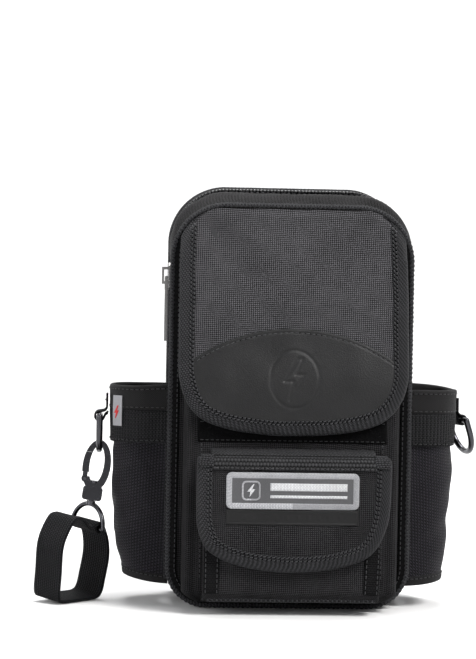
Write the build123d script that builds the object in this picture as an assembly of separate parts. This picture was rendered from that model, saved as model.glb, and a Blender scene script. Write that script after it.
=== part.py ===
"""Electrician's tool pouch: an upright sewn case with a zipped top, two flapped
front pockets, two side pockets, D-rings, and a webbing tape strap on a snap hook.

Millimetres. +Z is up and the front faces -Y. The origin lies on the base's flat
underside, midway between the sides and near the middle of the overall depth.
Every sewn layer is a closed solid of its real thickness.
"""

import math
import os

from build123d import *

os.makedirs("parts", exist_ok=True)

# ---------------------------------------------------------------- dimensions
BODY_HALF_W = 76.5          # half width of the front and back panels
FRONT_TOP = 258.5           # top of the front panel
BACK_TOP = 272.0            # top of the back panel
PANEL_BOTTOM = 2.5
FRONT_R_TOP, FRONT_R_BOTTOM = 34.0, 24.0
BACK_R_TOP, BACK_R_BOTTOM = 36.0, 24.0

Y_FRONT = -18.0             # outer face of the front panel
Y_FRONT_IN = -14.0          # its inner face
Y_BACK_IN = 46.0            # inner face of the back panel's lining
Y_BACK = 58.0               # outer face of the back cover
GUSSET_T = 2.0
PIPE_W = 2.5                # how far the edge binding stands out of the panels

ZIP_Y = 22.0                # centre plane of the closed zip
ZIP_LOW = 143.0             # lower end of the zip
ZIP_SPLIT = 222.0           # the halves part above this height
CHAIN_GAP = 1.4
CHAIN_W = 2.5
CHAIN_T = 2.6
TAPE_W = 4.8
SLIDER_Z = 213.0

FP_HALF_W = 68.0            # front pocket
FP_Y = -40.0
FP_TOP = 198.0
SP_HALF_W = 55.5            # small pocket on the front pocket's face
SP_Y = -55.0
SP_TOP = 90.0
POCKET_T = 2.0

FLAP_HALF_W = 73.0          # main flap
FLAP_T = 3.2
FLAP_HINGE = (-22.0, 255.5)
FLAP_BOTTOM = 113.0
BIND_W = 10.0               # flap binding tape
SF_HALF_W = 61.0            # small flap
SF_T = 3.4
SF_HINGE = (-57.4, 100.6)
SF_BOTTOM = 29.0

SIDE_Y0, SIDE_Y1 = -12.5, 44.5      # side pockets, front to back
SIDE_Z0, SIDE_TOP = 15.0, 141.0
SIDE_T = 2.2
SIDE_R = 23.0
BULGE_LEFT = ((15.0, 28.0), (45.0, 36.0), (141.0, 38.5))
BULGE_RIGHT = ((15.0, 26.5), (45.0, 30.5), (141.0, 34.5))
RIM_Z = (126.5, 142.4)
BAND_Z = (105.0, 126.3)

RING_WIRE_R = 2.0           # D-rings
RING_R = 14.5
RING_LEG = 8.0
RING_Z = 121.0
LEFT_RING_X, LEFT_RING_Y = -122.5, 14.0
HOOK_TILT = 8.0             # the hook leans out on the ring
EYE_TURN = 45.0             # the swivel eye faces half left
RIGHT_RING_LEAN = 18.0

STRAP_W = 24.0
STRAP_T = 2.2

BELT_HALF_W = 36.0
BELT_GAP = 7.0


# ---------------------------------------------------------------- helpers
def save(shape, name):
    """Writes one node. Several solids go out as one compound."""
    solids = shape.solids()
    out = solids[0] if len(solids) == 1 else Compound(children=list(solids))
    export_step(out, f"parts/{name}.step")


def face_of(points):
    return make_face(Polyline(*points, close=True))


def outline(half_w, z0, z1, r_top, r_bottom):
    """A panel's outline as a sketch whose local X is X and local Y is Z."""
    sk = Pos(0, (z0 + z1) / 2) * Rectangle(2 * half_w, z1 - z0)
    rows = sk.vertices().group_by(Axis.Y)
    sk = fillet(rows[-1], r_top)
    rows = sk.vertices().group_by(Axis.Y)
    return fillet(rows[0], r_bottom)


def slab(sketch, y0, y1):
    """Extrudes an XZ sketch from y0 to y1."""
    return extrude(Plane(origin=(0, y1, 0), x_dir=(1, 0, 0), z_dir=(0, -1, 0)) * sketch, amount=y1 - y0)


def prism(points, x0, x1):
    """Extrudes a (y, z) profile from x0 to x1."""
    return extrude(Plane(origin=(x0, 0, 0), x_dir=(0, 1, 0), z_dir=(1, 0, 0)) * face_of(points), amount=x1 - x0)


def block(x0, x1, y0, y1, z0, z1):
    return Pos((x0 + x1) / 2, (y0 + y1) / 2, (z0 + z1) / 2) * Box(x1 - x0, y1 - y0, z1 - z0)


def rod(r, a, b):
    """A cylinder from point a to point b."""
    a, b = Vector(*a), Vector(*b)
    d = b - a
    return extrude(Plane(origin=a, z_dir=d.normalized()) * Circle(r), amount=d.length)


# ---------------------------------------------------------------- back panel
def back_outline(grow):
    return outline(BODY_HALF_W + grow, PANEL_BOTTOM - grow, BACK_TOP + grow, BACK_R_TOP + grow, BACK_R_BOTTOM + grow)


RIVETS = [(x, z) for x in (-26.0, 26.0) for z in (152.0, 244.0)]


def rivet_holes(y0, y1, r=2.0):
    return sum((rod(r, (x, y0, z), (x, y1, z)) for x, z in RIVETS[1:]), rod(r, (RIVETS[0][0], y0, RIVETS[0][1]), (RIVETS[0][0], y1, RIVETS[0][1])))


save(slab(back_outline(0), 56.0, Y_BACK) - rivet_holes(50, 70), "back_cover")
save(slab(back_outline(-4), 54.4, 56.0) - rivet_holes(50, 70), "back_stiffener")
save(slab(back_outline(-2), 47.4, 54.4), "back_foam")
save(slab(back_outline(-2), Y_BACK_IN, 47.4), "back_lining")
save(slab(back_outline(PIPE_W), Y_BACK_IN, Y_BACK + 0.8) - slab(back_outline(0), 40, 70), "back_binding")

# belt loop: a stiff webbing tunnel held by four rivets
loop_profile = [
    (Y_BACK, 142.0), (Y_BACK, 160.0), (Y_BACK + BELT_GAP, 164.0), (Y_BACK + BELT_GAP, 232.0), (Y_BACK, 236.0), (Y_BACK, 254.0),
    (Y_BACK + 2.4, 254.0), (Y_BACK + 2.4, 237.2), (Y_BACK + BELT_GAP + 2.6, 233.4), (Y_BACK + BELT_GAP + 2.6, 162.6),
    (Y_BACK + 2.4, 158.8), (Y_BACK + 2.4, 142.0),
]
belt_loop = prism(loop_profile, -BELT_HALF_W, BELT_HALF_W) - rivet_holes(50, 70)
save(belt_loop, "belt_loop")
rivets = None
for x, z in RIVETS:
    one = rod(1.95, (x, 54.4, z), (x, 61.0, z)) + rod(4.6, (x, 60.4, z), (x, 62.0, z))
    rivets = one if rivets is None else rivets + one
save(rivets, "belt_loop_rivets")

# ---------------------------------------------------------------- front panel
def front_outline(grow):
    return outline(BODY_HALF_W + grow, PANEL_BOTTOM - grow, FRONT_TOP + grow, FRONT_R_TOP + grow, FRONT_R_BOTTOM + grow)


save(slab(front_outline(0), Y_FRONT, -16.6), "front_panel_cover")
save(slab(front_outline(0), -16.6, Y_FRONT_IN), "front_panel_foam")
save(slab(front_outline(PIPE_W), -19.0, Y_FRONT_IN) - slab(front_outline(0), -30, 0), "front_binding")

# ---------------------------------------------------------------- base
save(extrude(Pos(0, (Y_FRONT_IN + Y_BACK_IN) / 2) * RectangleRounded(104, 59.4, 6), amount=2.5), "base_pad")
save(Pos(0, 0, 4.5) * extrude(Pos(0, (Y_FRONT_IN + Y_BACK_IN) / 2) * RectangleRounded(100, 58, 5), amount=2.0), "base_stiffener")
save(Pos(0, 0, 6.5) * extrude(Pos(0, (Y_FRONT_IN + Y_BACK_IN) / 2) * RectangleRounded(102, 59.4, 5), amount=1.0), "base_lining")

# ---------------------------------------------------------------- gusset
def front_shell(t_out, t_in, y0, y1):
    return slab(front_outline(-t_out), y0, y1) - slab(front_outline(-t_in), y0 - 1, y1 + 1)


lower = front_shell(0, GUSSET_T, Y_FRONT_IN, Y_BACK_IN)
save(lower & block(-90, 90, -20, 60, 0, ZIP_LOW - 3.0), "gusset_lower")

EDGE_F = ZIP_Y - CHAIN_GAP / 2 - CHAIN_W - TAPE_W      # 14.0: front gusset's edge where the zip is closed
EDGE_R = ZIP_Y + CHAIN_GAP / 2 + CHAIN_W + TAPE_W      # 30.0
OPEN_F, OPEN_R = -15.0, 9.0                             # how far each edge moves at the open top
Z_OPEN = 246.0


def strip_front(y0, y1):
    """The region between two lines that follow the front half's edge, as a YZ prism."""
    return prism([(y0, ZIP_LOW - 3.0), (y0, ZIP_SPLIT), (y0 + OPEN_F, Z_OPEN), (y0 + OPEN_F, 290),
                  (y1 + OPEN_F, 290), (y1 + OPEN_F, Z_OPEN), (y1, ZIP_SPLIT), (y1, ZIP_LOW - 3.0)], -95, 95)


def strip_rear(y0, y1):
    return prism([(y0, ZIP_LOW - 3.0), (y0, ZIP_SPLIT), (y0 + OPEN_R, Z_OPEN), (y0 + OPEN_R, 290),
                  (y1 + OPEN_R, 290), (y1 + OPEN_R, Z_OPEN), (y1, ZIP_SPLIT), (y1, ZIP_LOW - 3.0)], -95, 95)


up = block(-90, 90, -20, 60, ZIP_LOW - 3.0, 290)
RISE = 8.0                  # the front half's band rises behind the front panel's edge


def raised(t):
    return outline(BODY_HALF_W - t, PANEL_BOTTOM, FRONT_TOP + RISE - t, FRONT_R_TOP + 5 - t, FRONT_R_BOTTOM)


def front_arch(t_out, t_in, y0, y1):
    """The front half's arch where it stands at its full height."""
    return slab(raised(t_out), y0, y1) - slab(raised(t_in), y0 - 1, y1 + 1)


def front_rise(t, y0, y1):
    """A solid that rises from the front panel's outline at y0 to the full height at y1."""
    low = outline(BODY_HALF_W - t, PANEL_BOTTOM, FRONT_TOP - t, FRONT_R_TOP - t, FRONT_R_BOTTOM)
    stand = lambda y: Plane(origin=(0, y, 0), x_dir=(1, 0, 0), z_dir=(0, -1, 0))
    return loft([stand(y0) * low, stand(y1) * raised(t)], ruled=True)


front_reach = prism([(Y_FRONT_IN, ZIP_LOW - 3.0), (Y_FRONT_IN, 290), (EDGE_F + OPEN_F, 290), (EDGE_F + OPEN_F, Z_OPEN),
                     (EDGE_F, ZIP_SPLIT), (EDGE_F, ZIP_LOW - 3.0)], -95, 95)
rise_end = EDGE_F + OPEN_F
rising = front_rise(0, Y_FRONT_IN, rise_end) - front_rise(GUSSET_T, Y_FRONT_IN, rise_end)
level = front_arch(0, GUSSET_T, rise_end, 30)
save((rising & up) + (level & front_reach), "gusset_front")


def back_shell(t_out, t_in, y0, y1):
    """The rear half's arch: the front's side walls up to the back panel's higher top."""
    o = outline(BODY_HALF_W - t_out, PANEL_BOTTOM, BACK_TOP - t_out, BACK_R_TOP - t_out, BACK_R_BOTTOM)
    i = outline(BODY_HALF_W - t_in, PANEL_BOTTOM - 5, BACK_TOP - t_in, BACK_R_TOP - t_in, BACK_R_BOTTOM)
    return slab(o, y0, y1) - slab(i, y0 - 1, y1 + 1)


rear_reach = prism([(Y_BACK_IN, ZIP_LOW - 3.0), (Y_BACK_IN, 290), (EDGE_R + OPEN_R, 290), (EDGE_R + OPEN_R, Z_OPEN),
                    (EDGE_R, ZIP_SPLIT), (EDGE_R, ZIP_LOW - 3.0)], -95, 95)
save(back_shell(0, GUSSET_T, 25, Y_BACK_IN) & rear_reach & up, "gusset_rear")

# zip tapes and tooth chains, each half one piece round the opening
y_f = EDGE_F + TAPE_W
y_r = EDGE_R - TAPE_W
mid = GUSSET_T / 2
save(front_arch(mid - 0.4, mid + 0.4, -10, 30) & strip_front(EDGE_F, y_f) & up, "zip_tape_front")
save(back_shell(mid - 0.4, mid + 0.4, 10, 46) & strip_rear(y_r, EDGE_R) & up, "zip_tape_rear")
save(front_arch(mid - CHAIN_T / 2, mid + CHAIN_T / 2, -10, 30) & strip_front(y_f, y_f + CHAIN_W) & block(-95, 95, -20, 60, ZIP_LOW, 290), "zip_teeth_front")
save(back_shell(mid - CHAIN_T / 2, mid + CHAIN_T / 2, 10, 46) & strip_rear(y_r - CHAIN_W, y_r) & block(-95, 95, -20, 60, ZIP_LOW, 290), "zip_teeth_rear")
x_mid = BODY_HALF_W - mid
stops = block(x_mid - 1.6, x_mid + 1.6, ZIP_Y - 3.2, ZIP_Y + 3.2, ZIP_LOW - 2.8, ZIP_LOW - 0.1)
save(stops + mirror(stops, Plane.YZ), "zip_end_stops")

# sliders: two plates joined by a thin post between the halves, with a bridge for the pull
for side, name in ((-1, "left"), (1, "right")):
    z0, z1 = SLIDER_Z - 9, SLIDER_Z + 9
    plate_out = block(x_mid + CHAIN_T / 2 + 0.5, x_mid + CHAIN_T / 2 + 2.1, ZIP_Y - 5.6, ZIP_Y + 5.6, z0, z1)
    plate_in = block(x_mid - CHAIN_T / 2 - 2.1, x_mid - CHAIN_T / 2 - 0.5, ZIP_Y - 5.6, ZIP_Y + 5.6, z0, z1)
    plate_out = chamfer(plate_out.edges().filter_by(Axis.X), 2.0)
    plate_in = chamfer(plate_in.edges().filter_by(Axis.X), 2.0)
    post = block(x_mid - CHAIN_T / 2 - 0.5, x_mid + CHAIN_T / 2 + 0.5, ZIP_Y - 0.5, ZIP_Y + 0.5, z1 - 5, z1 - 1)
    xb = x_mid + CHAIN_T / 2 + 2.1
    bridge = (block(xb, xb + 4.4, ZIP_Y - 1.2, ZIP_Y + 1.2, z1 - 4.5, z1 - 2.7) + block(xb + 2.9, xb + 4.4, ZIP_Y - 1.2, ZIP_Y + 1.2, z1 - 14, z1 - 2.7)
              + block(xb, xb + 4.4, ZIP_Y - 1.2, ZIP_Y + 1.2, z1 - 14, z1 - 12.2))
    slider = plate_out + plate_in + post + bridge
    # the pull hangs on the bridge: a short eye bar and a long slotted tab
    px = xb + 1.45
    pz = z1 - 9.6
    eye = rod(1.0, (px, ZIP_Y - 4.4, pz), (px, ZIP_Y + 4.4, pz))
    cheeks = block(px - 1.0, px + 1.0, ZIP_Y - 4.4, ZIP_Y - 2.4, pz - 8, pz) + block(px - 1.0, px + 1.0, ZIP_Y + 2.4, ZIP_Y + 4.4, pz - 8, pz)
    tab = block(px - 0.9, px + 0.9, ZIP_Y - 4.4, ZIP_Y + 4.4, pz - 42, pz - 8) - block(px - 3, px + 3, ZIP_Y - 2.0, ZIP_Y + 2.0, pz - 36, pz - 14)
    pull = eye + cheeks + tab
    if side < 0:
        slider, pull = mirror(slider, Plane.YZ), mirror(pull, Plane.YZ)
    save(slider, f"zip_slider_{name}")
    save(pull, f"zip_pull_{name}")
print("pull hinge x, z:", round(px, 3), round(pz, 3))

# ---------------------------------------------------------------- inside: tool loops on the back lining
loops = None
for x0 in (-62.0, -30.8, 0.8, 32.0):
    w, d, t = 30.0, 11.0, 1.2
    pts = [(x0, Y_BACK_IN), (x0 + 3, Y_BACK_IN), (x0 + 5, Y_BACK_IN - d + t), (x0 + w - 5, Y_BACK_IN - d + t), (x0 + w - 3, Y_BACK_IN), (x0 + w, Y_BACK_IN),
           (x0 + w, Y_BACK_IN - t), (x0 + w - 2.1, Y_BACK_IN - t), (x0 + w - 4.1, Y_BACK_IN - d), (x0 + 4.1, Y_BACK_IN - d), (x0 + 2.1, Y_BACK_IN - t), (x0, Y_BACK_IN - t)]
    one = Pos(0, 0, 196) * extrude(face_of(pts), amount=25)
    loops = one if loops is None else loops + one
save(loops, "inner_tool_loops")

# ---------------------------------------------------------------- front pocket
fp_out = [(Y_FRONT, 6.0), (-34.0, 6.0), (FP_Y, 16.0), (FP_Y, 140.0), (-27.5, FP_TOP), (Y_FRONT, FP_TOP)]
fp_in = [(Y_FRONT, 8.0), (-33.0, 8.0), (FP_Y + POCKET_T, 16.4), (FP_Y + POCKET_T, 139.8), (-27.5 + POCKET_T, FP_TOP), (-27.5 + POCKET_T, FP_TOP + 6), (Y_FRONT, FP_TOP + 6)]
fp_shell_out = prism(fp_out, -FP_HALF_W, FP_HALF_W) & slab(outline(BODY_HALF_W - 1.0, 4.5, 300, 20, 26.0), -60, Y_FRONT)
fp_shell_in = prism(fp_in, -FP_HALF_W + POCKET_T, FP_HALF_W - POCKET_T) & slab(outline(BODY_HALF_W - 3.0, 6.5, 300, 20, 24.0), -60, 0)
save(fp_shell_out - fp_shell_in, "front_pocket")
save(block(-60, 60, FP_Y - 1.0, FP_Y, 108.4, 138.0), "front_pocket_loop_tape")

# ---------------------------------------------------------------- small pocket
sp_out = [(FP_Y, 9.0), (-49.0, 9.0), (SP_Y, 17.0), (SP_Y, SP_TOP), (FP_Y, SP_TOP)]
sp_in = [(FP_Y, 11.0), (-48.0, 11.0), (SP_Y + POCKET_T, 17.4), (SP_Y + POCKET_T, SP_TOP + 5), (FP_Y, SP_TOP + 5)]
save(prism(sp_out, -SP_HALF_W, SP_HALF_W) - prism(sp_in, -SP_HALF_W + POCKET_T, SP_HALF_W - POCKET_T), "small_pocket")
edge = block(-SP_HALF_W, -SP_HALF_W + BIND_W, SP_Y - 0.9, SP_Y, 17.0, SP_TOP)
save(edge + mirror(edge, Plane.YZ), "small_pocket_bindings")
save(block(-28, 28, SP_Y - 1.0, SP_Y, 44, 64), "small_pocket_loop_patch")
# ribbed webbing that carries the small flap
save(prism([(-41.7, 104.8), (-41.7, 107.2), (-57.0, 101.4), (-57.0, 99.0)], -54, 54), "small_flap_webbing")

# ---------------------------------------------------------------- main flap
hy, hz = FLAP_HINGE
lean = (-42.2 - hy) / (140.0 - hz)      # slope of the upper run


def flap_outline(half_w, z_bottom, r):
    sk = Pos(0, (z_bottom + 300) / 2) * Rectangle(2 * half_w, 300 - z_bottom)
    sk = fillet(sk.vertices().group_by(Axis.Y)[0], r)
    return sk


def flap_layer(off0, off1, z_low):
    """A layer of the flap between two offsets from its rear face, as a YZ prism."""
    return prism([(hy - off0, hz), (-42.2 - off0, 140.0), (-42.2 - off0, z_low), (-42.2 - off1, z_low), (-42.2 - off1, 140.0), (hy - off1, hz)], -90, 90)


under_seam = slab(front_outline(-1.0), -80, 0)
full = slab(flap_outline(FLAP_HALF_W, FLAP_BOTTOM, 34), -80, 0) & under_seam
core = slab(flap_outline(FLAP_HALF_W - BIND_W, FLAP_BOTTOM + BIND_W, 24), -80, 0)
save(flap_layer(0, FLAP_T, 100) & core & under_seam, "main_flap_panel")
save((flap_layer(-0.0, FLAP_T + 0.5, 100) & full) - core, "main_flap_binding")
arc_r, ARC_TOP = 111.0, 180.0         # the vinyl's curved upper edge
arc = slab(Pos(0, ARC_TOP - arc_r) * Circle(arc_r), -80, 0)
save((flap_layer(FLAP_T, FLAP_T + 0.8, 100) & core) & arc, "main_flap_vinyl")
save(block(-50, 50, -42.2, -41.2, 118, 134), "main_flap_hook_tape")

# ---------------------------------------------------------------- small flap
sy, sz = SF_HINGE


def sf_outline(half_w, z0, z1, r, r_top):
    sk = Pos(0, (z0 + z1) / 2) * Rectangle(2 * half_w, z1 - z0)
    sk = fillet(sk.vertices().group_by(Axis.Y)[0], r)
    return fillet(sk.vertices().group_by(Axis.Y)[-1], r_top) if r_top else sk


sf_full = sf_outline(SF_HALF_W, SF_BOTTOM, sz, 27, 5)
sf_core = sf_outline(SF_HALF_W - BIND_W, SF_BOTTOM + BIND_W, sz + 10, 18, 0)
save(slab(sf_core & sf_full, sy - SF_T, sy), "small_flap_panel")
save(slab(sf_full - sf_core, sy - SF_T - 0.5, sy), "small_flap_binding")
save(slab(Pos(-1.0, 80.0) * (RectangleRounded(83, 22.6, 1.2) - RectangleRounded(75, 15.0, 0.8)), sy - SF_T - 1.0, sy - SF_T), "label_frame")
save(slab(Pos(-1.0, 80.0) * RectangleRounded(75, 15.0, 0.8), sy - SF_T - 0.6, sy - SF_T), "label_plate")
save(block(-24, 24, sy, sy + 1.0, 46, 62), "small_flap_hook_patch")


# ---------------------------------------------------------------- side pockets
def bulge_at(table, z):
    for (za, ba), (zb, bb) in zip(table, table[1:]):
        if z <= zb or (zb == table[-1][0]):
            return ba + (bb - ba) * (z - za) / (zb - za)
    return table[-1][1]


def pocket_section(table, z, off):
    x0, x1 = BODY_HALF_W, BODY_HALF_W + bulge_at(table, z) + off
    sk = Pos((x0 + x1) / 2, (SIDE_Y0 + SIDE_Y1) / 2) * Rectangle(x1 - x0, SIDE_Y1 - SIDE_Y0 + 2 * off)
    sk = fillet(sk.vertices().group_by(Axis.X)[-1], SIDE_R + off)
    return Pos(0, 0, z) * sk


def pocket_solid(table, z0, z1, off):
    zs = [z0] + [z for z, _ in table if z0 + 0.5 < z < z1 - 0.5] + [z1]
    return loft([pocket_section(table, z, off) for z in zs], ruled=True)


for side, name, table in ((-1, "left", BULGE_LEFT), (1, "right", BULGE_RIGHT)):
    outer = pocket_solid(table, SIDE_Z0, SIDE_TOP, 0)
    inner = pocket_solid(table, SIDE_Z0 + SIDE_T, SIDE_TOP + 4, -SIDE_T)
    shell = outer - inner
    rim = pocket_solid(table, RIM_Z[0], RIM_Z[1], 1.0) - outer - pocket_solid(table, 100, 150, -SIDE_T)
    band = pocket_solid(table, BAND_Z[0], BAND_Z[1], 1.2) - outer
    flip = (lambda s: mirror(s, Plane.YZ)) if side < 0 else (lambda s: s)
    save(flip(shell), f"side_pocket_{name}")
    save(flip(rim), f"side_pocket_rim_{name}")
    save(flip(band), f"side_pocket_band_{name}")

# folded tag on the left pocket's front corner
cx = -(BODY_HALF_W + bulge_at(BULGE_LEFT, 125) - SIDE_R)
cy = SIDE_Y0 + SIDE_R
phi = math.radians(50)
rt = SIDE_R + 1.35
tag_c = (cx - rt * math.sin(phi), cy - rt * math.cos(phi))
tag = Plane(origin=(tag_c[0], tag_c[1], 125.5), x_dir=(math.cos(phi), -math.sin(phi), 0), z_dir=(-math.sin(phi), -math.cos(phi), 0)) * Pos(0, 0, 0.5) * Box(8.0, 19.0, 0.8)
save(tag - pocket_solid(BULGE_LEFT, 90, 143, 1.25).mirror(Plane.YZ), "side_tag")


# ---------------------------------------------------------------- D-rings and their tabs
def d_ring(wire, radius, leg):
    """A D-ring in the YZ plane: the bar lies on the local Y axis, the bow hangs below."""
    bar = rod(wire, (0, -radius, 0), (0, radius, 0))
    legs = rod(wire, (0, -radius, 0), (0, -radius, -leg)) + rod(wire, (0, radius, 0), (0, radius, -leg))
    bow = Pos(0, 0, -leg) * (Rot(0, 90, 0) * Torus(radius, wire)) & block(-wire - 1, wire + 1, -radius - wire - 1, radius + wire + 1, -leg - radius - wire - 1, -leg)
    balls = Pos(0, -radius, 0) * Sphere(wire) + Pos(0, radius, 0) * Sphere(wire)
    return bar + legs + bow + balls


def ring_tab(reach):
    """A folded webbing tab: a sleeve round the ring's bar and a plate that runs up the pocket. Local +X points away from the pocket."""
    sleeve = rod(RING_WIRE_R + 1.9, (0, -9, 0), (0, 9, 0))
    plate = block(-reach, 0.6, -9, 9, 0.0, 3.6) + block(-reach, -reach + 2.2, -9, 9, 0.0, 15.0)
    return (sleeve + plate) - rod(RING_WIRE_R + 0.25, (0, -12, 0), (0, 12, 0))


left_place = Pos(LEFT_RING_X, LEFT_RING_Y, RING_Z)
save(left_place * d_ring(RING_WIRE_R, RING_R, RING_LEG), "d_ring_left")
reach_l = abs(LEFT_RING_X) - (BODY_HALF_W + bulge_at(BULGE_LEFT, 136) + 1.25)
save(left_place * Rot(0, 0, 180) * ring_tab(reach_l), "d_ring_tab_left")

ang = 15.0
xc = BODY_HALF_W + bulge_at(BULGE_RIGHT, 130) - SIDE_R
yc = SIDE_Y1 - SIDE_R
rr = SIDE_R + 1.25 + 5.6
right_c = (xc + rr * math.cos(math.radians(ang)), yc + rr * math.sin(math.radians(ang)))
right_place = Pos(right_c[0], right_c[1], RING_Z) * Rot(0, 0, ang)
save(right_place * Rot(0, -RIGHT_RING_LEAN, 0) * d_ring(RING_WIRE_R, RING_R, RING_LEG), "d_ring_right")
tab_r = (right_place * ring_tab(5.0)) - pocket_solid(BULGE_RIGHT, 90, 150, 1.25)
save(tab_r, "d_ring_tab_right")
print("right ring centre:", [round(v, 3) for v in right_c])

# ---------------------------------------------------------------- snap hook, hung on the left ring's bow
WIRE_Z = RING_Z - RING_LEG - RING_R          # centre of the bow's lowest point
hang = Pos(LEFT_RING_X, LEFT_RING_Y, WIRE_Z) * Rot(0, HOOK_TILT, 0)


def local_slab(sketch, half_t):
    """An XZ sketch as a plate of that half thickness about Y = 0."""
    return extrude(Plane(origin=(0, half_t, 0), x_dir=(1, 0, 0), z_dir=(0, -1, 0)) * sketch, amount=2 * half_t)


oval_out = Pos(0, -10.6) * Ellipse(9.2, 17.0)
oval_in = Pos(0, -9.8) * Ellipse(4.7, 12.5)
base_sk = Pos(0, -29.0) * RectangleRounded(13.0, 9.0, 2.0)
body = local_slab((oval_out + base_sk) - oval_in, 2.5)
gap = block(-12, -0.5, -4, 4, -18.5, -2.0)
P = (-6.4, -20.0)
slot = block(-12, P[0] + 2.9, -1.8, 1.8, P[1] - 3.0, -18.0)
head_room = rod(2.9, (0, 0, -22.35), (0, 0, -17))
body = body - gap - slot - head_room - rod(1.0, (P[0], -5, P[1]), (P[0], 5, P[1])) - rod(1.8, (0, 0, -40), (0, 0, -20))
save(hang * body, "snap_hook_body")
gate_bar = local_slab((oval_out - oval_in) & (Pos(-6.5, -8.9) * Rectangle(13, 13.2)), 2.2)
gate_neck = local_slab(Pos(P[0] - 0.2, -16.6) * Rectangle(3.2, 7.0), 1.5) + rod(2.3, (P[0], -1.5, P[1]), (P[0], 1.5, P[1]))
gate = (gate_bar + gate_neck) - rod(1.06, (P[0], -5, P[1]), (P[0], 5, P[1]))
save(hang * gate, "snap_gate")
save(hang * rod(0.98, (P[0], -2.9, P[1]), (P[0], 2.9, P[1])), "snap_gate_pin")

# swivel eye: a headed stud through the hook's base, and a D loop for the strap
EYE_R, EYE_WIRE, BAR_Z = 14.2, 1.6, -50.2
stud = rod(1.7, (0, 0, -36.0), (0, 0, -21.6)) + rod(2.6, (0, 0, -22.0), (0, 0, -20.6))
collar = rod(3.0, (0, 0, -36.6), (0, 0, -33.9))
loop = Pos(0, 0, BAR_Z) * (Rot(0, 90, 0) * Torus(EYE_R, EYE_WIRE)) & block(-4, 4, -20, 20, BAR_Z, BAR_Z + 20)
bar = rod(EYE_WIRE, (0, -EYE_R, BAR_Z), (0, EYE_R, BAR_Z)) + Pos(0, -EYE_R, BAR_Z) * Sphere(EYE_WIRE) + Pos(0, EYE_R, BAR_Z) * Sphere(EYE_WIRE)
eye = (stud + collar + loop + bar) & block(-30, 30, -30, 30, -60, 0)
save(hang * Rot(0, 0, EYE_TURN) * eye, "swivel_eye")

# tape strap: a closed loop of webbing that runs through the eye and stands on the floor
centre = (hang * Pos(0, 0, BAR_Z)).position
turned = hang * Rot(0, 0, EYE_TURN)
far = (turned * Pos(0, 10, 0)).position
near = (turned * Pos(0, 0, 0)).position
u = (far - near).normalized()
n = Vector(-u.Y, u.X, 0).normalized()
if n.X > 0:
    n = n * -1
print("bar centre", centre, "bar direction", u, "strap runs towards", n)
plane = Plane(origin=centre, x_dir=n, z_dir=u)
if plane.y_dir.Z < 0:
    u = u * -1
    plane = Plane(origin=centre, x_dir=n, z_dir=u)
floor = -(centre.Z - 1.2)
strap_pts = [(-3.0, -2.1), (6.0, -2.1), (15.5, 8.5), (24.0, 8.0), (33.0, -12.0), (32.0, floor), (-7.0, floor), (-12.0, -20.0)]
strap_out = face_of(strap_pts)
strap_out = fillet(strap_out.vertices(), 4.0)
strap_in = offset(strap_out, amount=-STRAP_T)
band = extrude(plane * (strap_out - strap_in), amount=STRAP_W / 2, both=True)
sleeve = extrude(plane * (Circle(EYE_WIRE + 1.9) - Circle(EYE_WIRE + 0.25)), amount=STRAP_W / 2, both=True)
strap = (band + sleeve) - extrude(plane * Circle(EYE_WIRE + 0.25), amount=20, both=True)
save(strap, "tape_strap")
print("strap bottom", strap.bounding_box().min, "u", u)
print("gate pivot", (hang * Pos(P[0], 0, P[1])).position)
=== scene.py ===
"""Electrician's tool pouch: fabric, webbing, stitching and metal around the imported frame."""
import math
import random

import bpy
import bmesh
import numpy as np
from mathutils import Matrix, Vector


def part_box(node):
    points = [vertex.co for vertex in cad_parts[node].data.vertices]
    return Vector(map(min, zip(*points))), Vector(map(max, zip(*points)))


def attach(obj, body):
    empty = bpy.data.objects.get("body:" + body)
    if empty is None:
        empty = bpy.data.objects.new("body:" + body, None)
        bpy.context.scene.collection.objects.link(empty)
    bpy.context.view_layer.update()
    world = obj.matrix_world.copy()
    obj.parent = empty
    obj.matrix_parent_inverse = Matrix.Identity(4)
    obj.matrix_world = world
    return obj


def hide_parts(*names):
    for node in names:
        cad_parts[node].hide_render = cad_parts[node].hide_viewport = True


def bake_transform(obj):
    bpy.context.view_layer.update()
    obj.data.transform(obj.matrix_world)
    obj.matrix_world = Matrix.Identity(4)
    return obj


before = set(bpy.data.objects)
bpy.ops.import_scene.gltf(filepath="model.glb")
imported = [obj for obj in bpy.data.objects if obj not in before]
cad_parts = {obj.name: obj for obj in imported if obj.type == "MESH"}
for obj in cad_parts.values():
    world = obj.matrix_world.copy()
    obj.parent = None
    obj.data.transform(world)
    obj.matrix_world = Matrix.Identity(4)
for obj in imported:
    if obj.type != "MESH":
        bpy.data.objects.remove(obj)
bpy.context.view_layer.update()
random.seed(11)
rng = np.random.default_rng(11)
MM = 0.001


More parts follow.
